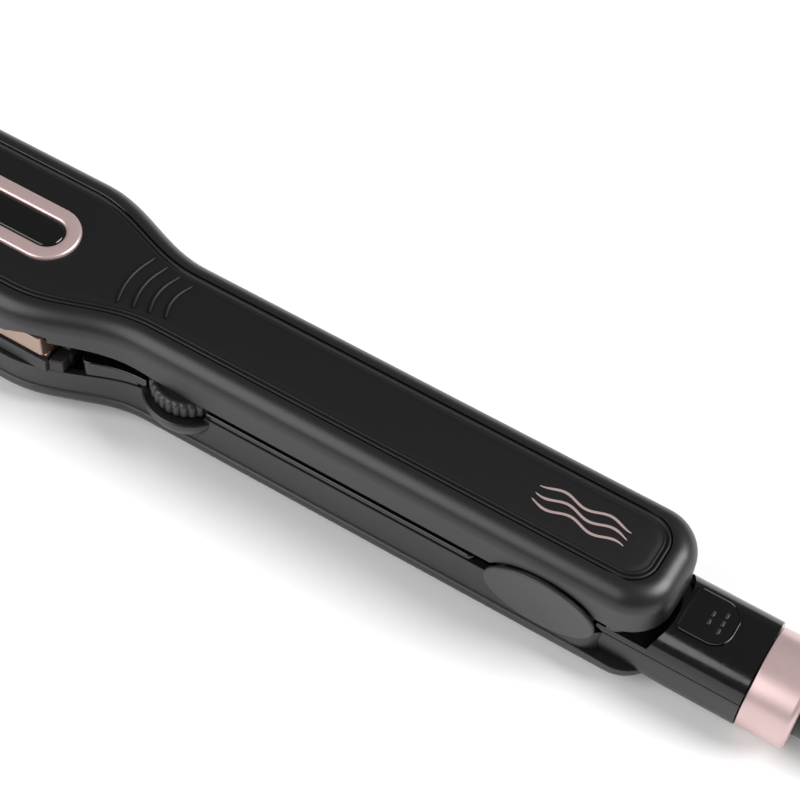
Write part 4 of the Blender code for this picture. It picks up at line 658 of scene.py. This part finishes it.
def makeLowerShell():
    low, edge = lowerShell["floor"] + lowerShell["edgeRadius"], lowerShell["inset"]
    skirt = filletPairs(low, lowerShell["edgeRadius"], -1, 10)[::-1]
    rings = [atHeight(trayOutline(inset, lowerShell["skirtEnd"]), z) for inset, z in skirt]
    rings.append(atHeight(trayOutline(0.0, lowerShell["skirtEnd"]), lowerShell["ledge"] - 0.15))
    rings.append(atHeight(trayOutline(0.15, lowerShell["skirtEnd"]), lowerShell["ledge"]))
    rings.append(atHeight(trayOutline(edge), lowerShell["ledge"] + 0.15))
    rings.append(atHeight(trayOutline(edge), lambda s: lowerEdge(s) - 0.25))
    rings.append(atHeight(trayOutline(edge + 0.08), lambda s: lowerEdge(s) - 0.08))
    rings.append(atHeight(trayOutline(edge + 0.25), lowerEdge))
    rings.append(atHeight(trayOutline(edge + body["wall"]), lowerEdge))
    rings.append(atHeight(trayOutline(edge + body["wall"], 262), 5.7))
    shell = stackRings("lowerShell", rings)
    turn = np.linspace(0, 1, 9)
    # (inset, height) of the belly: a small chamfer on the resting face, then a curve that widens up to the tray
    bellyPairs = [(12.5 - 1.2 * t, 0.25 * t) for t in (0.0, 0.5, 1.0)]
    bellyPairs += [(11.0 - 6.0 * t, 0.35 + 3.75 * t ** 1.3) for t in turn]
    start, end = lowerShell["bellyStart"], lowerShell["bellyEnd"]
    belly = stackRings("belly", [atHeight(planOutline(start, end, armHalf, 12, 8, inset, 50), z)
                                 for inset, z in bellyPairs])
    outer = rearSolid("rearOuter", 0.0, rear["start"], body["seam"])
    # (height, radius) of the bulge that holds the wheel
    rim = wheel["radius"] + wheel["clear"] + 1.3
    bulgePairs = [(8.7, 6.4), (11.2, 8.6), (13.7, 10.4), (15.5, 11.4), (17.3, 12.1), (18.6, 12.35), (19.6, rim),
                  (20.0, rim - 0.4)]
    bulge = turned("bulge", bulgePairs, "z", (wheel["at"], wheel["y"], 0), 96)
    neckRadius, boreRadius = lowerShell["neckRadius"], lowerShell["boreRadius"]
    neck = turned("neck", [(291.8, neckRadius), (306.8, neckRadius)], "x", (0, 0, rear["centre"]))
    join(shell, belly, outer, bulge, neck)
    above = boxSolid("above", (248.4, -40, rear["parting"]), (body["seam"] + 0.01, 40, 60))
    clear = wheel["radius"] + wheel["clear"]
    room = turned("wheelRoom", [(20.0, clear), (40, clear)], "z", (wheel["at"], wheel["y"], 0), 96)
    inside = rearSolid("rearInner", 2.0, 246.0, 292.8, 72, 12)
    bore = turned("bore", [(289.8, boreRadius), (315.8, boreRadius)], "x", (0, 0, rear["centre"]), 64)
    holes, wide, narrow = [], lowerShell["headRoom"], lowerShell["shankRoom"]
    for s in lowerShell["screws"]:
        base = min(lowerShell["floor"], float(rearFloor(s)))
        steps = [(-5, wide), (base + 2.2, wide), (base + 2.4, narrow), (base + 4, narrow)]
        holes.append(turned("hole", steps, "z", (s, 0, 0), 40))
    cut(shell, inside, above, room, bore, *holes)
    ears, long, tall = [], lowerShell["earLong"], lowerShell["earTall"]
    for side in (-1, 1):
        inner, outerY = side * 12.6, side * (body["gripHalf"] - 0.05)
        ends = [(inner, long), (outerY - side * 0.3, long), (outerY, long - 0.3)]
        ears.append(turned("ear", ends, "y", (body["hinge"], 0, body["split"]), 96, tall / long))
    join(shell, *ears)
    pinEnds = [(-15, lowerShell["pinRoom"]), (15, lowerShell["pinRoom"])]
    pinRoom = turned("pinRoom", pinEnds, "y", (body["hinge"], 0, body["split"]), 40)
    return cut(shell, pinRoom)


lid = {"start": 113.2, "end": 227.0, "inset": 0.9, "top": 22.7, "round": 0.5}


def makeLowerLid():
    # a shallow block with a rounded top edge, cut away round the wheel
    def outline(inset):
        return planOutline(lid["start"], lid["end"], armHalf, 3, 3, lid["inset"] + inset, 80, 8)

    top, rise = lid["top"], lid["round"]
    rings = [atHeight(outline(0.0), lambda s: lowerEdge(s) + body["gap"])]
    rings += [atHeight(outline(rise * (1 - math.cos(t))), top - rise + rise * math.sin(t))
              for t in np.linspace(0, np.pi / 2, 6)]
    solid = stackRings("lowerLid", rings)
    clear = wheel["radius"] + wheel["clear"]
    room = turned("lidRoom", [(5, clear), (40, clear)], "z", (wheel["at"], wheel["y"], 0), 96)
    ends = [(5, clear + 2.3), (wheel["low"], clear + 2.3)]
    bulgeRoom = turned("bulgeRoom", ends, "z", (wheel["at"], wheel["y"], 0), 96)
    return cut(solid, room, bulgeRoom)


def makeWheel():
    # radius = wheel radius less a rounded knurl: |sin| of the tooth angle, faded out at the two chamfers
    turn = 2 * np.pi * np.arange(wheel["teeth"] * 12) / (wheel["teeth"] * 12)
    knurl = wheel["tooth"] * (1 - np.abs(np.sin(turn * wheel["teeth"] / 2)) ** 0.7)
    levels = ((0.0, -1.0, 0.2), (0.25, -0.55, 0.5), (0.7, -0.12, 1.0), (1.0, 0.0, 1.0), (4.0, 0.0, 1.0),
              (4.3, -0.12, 1.0), (4.75, -0.55, 0.5), (5.0, -1.0, 0.2), (5.0, -2.0, 0.0), (4.7, -2.3, 0.0),
              (4.7, -7.0, 0.0))
    rings = []
    for height, inset, share in levels:
        radius = wheel["radius"] + inset - knurl * share
        rings.append(np.column_stack([wheel["at"] + radius * np.cos(turn), wheel["y"] + radius * np.sin(turn),
                                      np.full(len(turn), wheel["low"] + height)]))
    return closedTubes("tempWheel", [np.stack(rings)], 40)


cover = {"trenchEnd": 275.8, "trenchTop": 19.5, "humpEnd": 268.6, "humpSide": 23.5, "humpRound": 1.4,
         "slotStart": 278.9, "slotEnd": 287.5, "slotHalf": 1.8}


def makeRearCover():
    front = body["hinge"] + lowerShell["earLong"] + 0.6
    hood = rearSolid("rearCover", 0.0, front, body["seam"])
    below = boxSolid("below", (220, -40, -20), (301, 40, rear["parting"] + body["gap"]))
    tailRoom = stackRings("tailRoom", [atHeight(armOutline(-1.3), z) for z in (19.5, 60)])
    inner = rearSolid("coverInner", 2.0, 249.4, body["seam"] - 2, 72, 12)
    cut(hood, tailRoom, inner)

    def straight(start, end, width, r0, r1, inset):
        return planOutline(start, end, steadyHalf(width), r0, r1, inset, 12, 10)

    # the trench runs under the arm's tail, and the hump fills the room under the arm in front of it
    low, edge = body["gap"] + rear["parting"], cover["humpRound"]
    trench = straight(front, cover["trenchEnd"], rear["half"] - 1.4, 3, 10, 0)
    floor = stackRings("trenchFloor", [atHeight(trench, z) for z in (low, cover["trenchTop"])])
    turn = np.linspace(0, np.pi / 2, 7)
    humpPairs = [(0, low)] + [(edge * (1 - math.cos(t)), cover["humpSide"] + edge * math.sin(t)) for t in turn]
    hump = stackRings("hump", [atHeight(straight(front, cover["humpEnd"], 12.0, 3, 7, inset), z)
                               for inset, z in humpPairs])
    join(hood, floor, hump)
    slot = boxSolid("slot", (cover["slotStart"], -cover["slotHalf"], 20), (cover["slotEnd"], cover["slotHalf"], 30))
    return cut(hood, below, slot)


slider = {"start": 274.9, "end": 287.5, "half": 6.55, "low": 25.6, "high": 26.2, "stem": 279.2}


def makeSlider():
    # a thin cap with a rounded rim and a shallow dished top, with its stem and foot
    edge = [(0.0, slider["low"]), (0.0, slider["high"] - 0.22), (0.08, slider["high"] - 0.06), (0.22, slider["high"])]
    edge += [(0.5, slider["high"]), (0.65, slider["high"] - 0.14), (1.2, slider["high"] - 0.16)]
    start, end, half = slider["start"], slider["end"], steadyHalf(slider["half"])
    rings = [atHeight(planOutline(start, end, half, 1.2, 5.0, inset, 14, 14), z) for inset, z in edge]
    cap = stackRings("lockSlider", rings, 40)
    s = slider["stem"]
    stem = boxSolid("stem", (s, -1.5, 22.1), (s + 4, 1.5, slider["low"] + 0.2))
    foot = boxSolid("foot", (s - 1, -4, 21.6), (s + 5, 4, 23.0))
    return join(cap, stem, foot)


marks = {"rows": ((281.0, (-1.2, 1.2)), (284.0, (-2.4, 0.0, 2.4))), "halfLong": 0.35, "halfAcross": 0.75,
         "levels": ((1.15, 25.95), (1.0, 26.12), (0.75, 26.16))}


def makeDashes():
    # small raised bars on the slider's cap, in two short rows
    long, across = marks["halfLong"], marks["halfAcross"]
    corners = ((-1, -1), (1, -1), (1, 1), (-1, 1))
    bars = [np.array([[(s + a * long * k, y + b * across * k, z) for a, b in corners] for k, z in marks["levels"]])
            for s, row in marks["rows"] for y in row]
    return closedTubes("sliderMarks", bars, 50)


pad = {"long": 14.75, "tall": 9.0}


def makePad(name, side):
    # a thin oval cap with a rounded rim and a face dished by a few hundredths
    inner, long = side * (body["gripHalf"] + body["gap"]), pad["long"]
    steps = [(0.0, long), (0.45, long), (0.62, long - 0.07), (0.78, long - 0.25), (0.86, long - 0.55),
             (0.9, long - 0.95), (0.88, 8.0), (0.86, 1.0)]
    profile = [(inner + side * d, r) for d, r in steps]
    return turned(name, profile, "y", (body["hinge"], 0, body["split"]), 128, pad["tall"] / long, 40)


collar = {"start": 0.3, "end": 12.8, "radius": 12.9, "round": 1.6, "mouth": 9.0, "lip": 1.4, "bore": 10.6}


def makeCollar():
    # a ring whose closed profile runs over the outside, round the rear edge and back through the bore
    start, end, radius = body["seam"] + collar["start"], body["seam"] + collar["end"], collar["radius"]
    edge, mouth, lip, bore = collar["round"], collar["mouth"], collar["lip"], collar["bore"]
    outside = [(start, radius - 0.4), (start + 0.12, radius - 0.12), (start + 0.4, radius)]
    outside += [(end - edge + edge * math.sin(t), radius - edge * (1 - math.cos(t)) * 0.9)
                for t in np.linspace(0, np.pi / 2, 8)]
    inside = [(end, mouth), (end - lip, mouth), (end - lip, bore), (start, bore)]
    profile = np.array(outside + inside)
    turn = 2 * np.pi * np.arange(128) / 128
    grid = np.stack([np.repeat(profile[:, :1], 128, 1), np.outer(profile[:, 1], np.cos(turn)),
                     rear["centre"] + np.outer(profile[:, 1], np.sin(turn))], -1)
    return makeMesh("cordCollar", grid, gridFaces(len(profile), 128, True, True), 35)


boot = {"start": 15.8, "thick": 8.6, "thin": 3.9, "grooves": 6, "depth": 1.3}


def makeBoot():
    # a taper whose grooves are cosine dips, deeper near the collar
    start, end, r0, r1 = body["seam"] + boot["start"], body["length"], boot["thick"], boot["thin"]
    s = np.linspace(start, end - 0.3, 150)
    share = (s - start) / (end - start)
    groove = np.clip(np.cos(2 * np.pi * (share * boot["grooves"] - 0.28)) - 0.1, 0, 1) / 0.9
    radius = r0 + (r1 - r0) * share - boot["depth"] * (1 - 0.6 * share) * groove ** 0.5
    profile = [(297.5, 7.6), (301.5, 7.6), (301.5, 5.6), (307.4, 5.6), (307.4, 8.2), (307.8, 8.6)]
    profile += np.column_stack([s, radius]).tolist() + [(end, r1 - 0.4)]
    return turned("swivelBoot", profile, "x", (0, 0, rear["centre"]), 64, 1.0, 50)


settle(makeLowerShell(), "lower_arm", "shell_plastic", finishes["shell"], "lower_shell")
settle(makeLowerLid(), "lower_arm", "cover_plastic", finishes["cover"], "lower_lid")
# the wheel is gloss black plastic: its mid grey finish is painted sheen standing in for the light on its teeth
settle(makeWheel(), "thumbwheel", "cover_plastic", finishes["pad"], "thumbwheel", sharp=60)
print("lower arm made")
settle(makeRearCover(), "lower_arm", "cover_plastic", finishes["cover"], "rear_cover")
settle(makeSlider(), "lock_slider", "cover_plastic", finishes["cover"], "lock_slider", sharp=40)
# the marks are gloss black like the cap: their mid grey finish is a painted highlight standing in for their glints
settle(makeDashes(), "lock_slider", "cover_plastic", finishes["pad"], sharp=50)
settle(makePad("hingePadNear", -1), "lower_arm", "pad_plastic", finishes["pad"], "hinge_pad_near", sharp=40)
settle(makePad("hingePadFar", 1), "lower_arm", "pad_plastic", finishes["pad"], "hinge_pad_far", sharp=40)
settle(makeCollar(), "lower_arm", "rose_metal", finishes["rose"], "collar", sharp=35)
settle(makeBoot(), "cord_swivel", "cord_rubber", finishes["sheath"], "swivel_boot", sharp=50)
print("rear made")

# The solids that keep their own shape get their finishes.
carried = {"upper_lid": "cover", "upper_heater": "heater", "upper_heater_clip": "spring", "upper_carrier": "heat",
           "upper_screw_1": "screw", "upper_screw_2": "screw", "upper_heater_lead": "sleeve", "lower_carrier": "heat",
           "lower_heater": "heater", "lower_heater_clip": "spring", "plate_cushion_front": "silicone",
           "plate_cushion_rear": "silicone", "temperature_sensor": "component", "thermal_fuse": "pin",
           "control_board": "board", "temperature_regulator": "component", "capacitor": "capacitor",
           "lower_heater_lead": "sleeve", "supply_lead": "sleeve", "hinge_pin": "screw", "opening_spring": "spring",
           "lower_screw_1": "screw", "lower_screw_2": "screw", "lower_screw_3": "screw",
           "swivel_retainer": "component", "slip_contacts": "brass"}
for node, key in carried.items():
    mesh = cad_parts[node].data
    mesh.materials.clear()
    mesh.materials.append(finishes[key])

# Plain pale floor and soft studio light.
studio = {"floor": "#fafafa", "reach": 12.0, "low": -0.0003, "sky": "#fdfdfd", "world": 0.19,
          "lamps": (("keyLight", (0.95, 0.45, 0.95), 38, 4.1), ("fillLight", (-0.7, -1.0, 0.9), 50, 2.1))}


def makeStage():
    mesh = bpy.data.meshes.new("studioFloor")
    reach, low = studio["reach"], studio["low"]
    corners = [(-reach, -reach, low), (reach, -reach, low), (reach, reach, low), (-reach, reach, low)]
    mesh.from_pydata(corners, [], [(0, 1, 2, 3)])
    floor = bpy.data.objects.new("studioFloor", mesh)
    card = makeFinish("matt white card", studio["floor"], studio["floor"], 0.85, grain=2.0, bump=0.002)
    floor.data.materials.append(card)
    bpy.context.scene.collection.objects.link(floor)
    world = bpy.data.worlds.new("studioLight")
    world.use_nodes = True
    sky = world.node_tree.nodes["Background"]
    sky.inputs["Color"].default_value = colour(studio["sky"])
    sky.inputs["Strength"].default_value = studio["world"]
    bpy.context.scene.world = world
    bpy.context.scene.view_settings.view_transform = "Standard"
    for name, place, angle, power in studio["lamps"]:  # direction, width in degrees and strength of each
        data = bpy.data.lights.new(name, "SUN")
        data.angle, data.energy = math.radians(angle), power
        lamp = bpy.data.objects.new(name, data)
        back = np.array(place) / np.linalg.norm(place)
        side = np.cross([0, 0, 1], back)
        side /= np.linalg.norm(side)
        turn = Matrix(np.column_stack([side, np.cross(back, side), back]).tolist())
        lamp.rotation_euler = turn.to_euler()
        bpy.context.scene.collection.objects.link(lamp)


makeStage()
print("stage made")
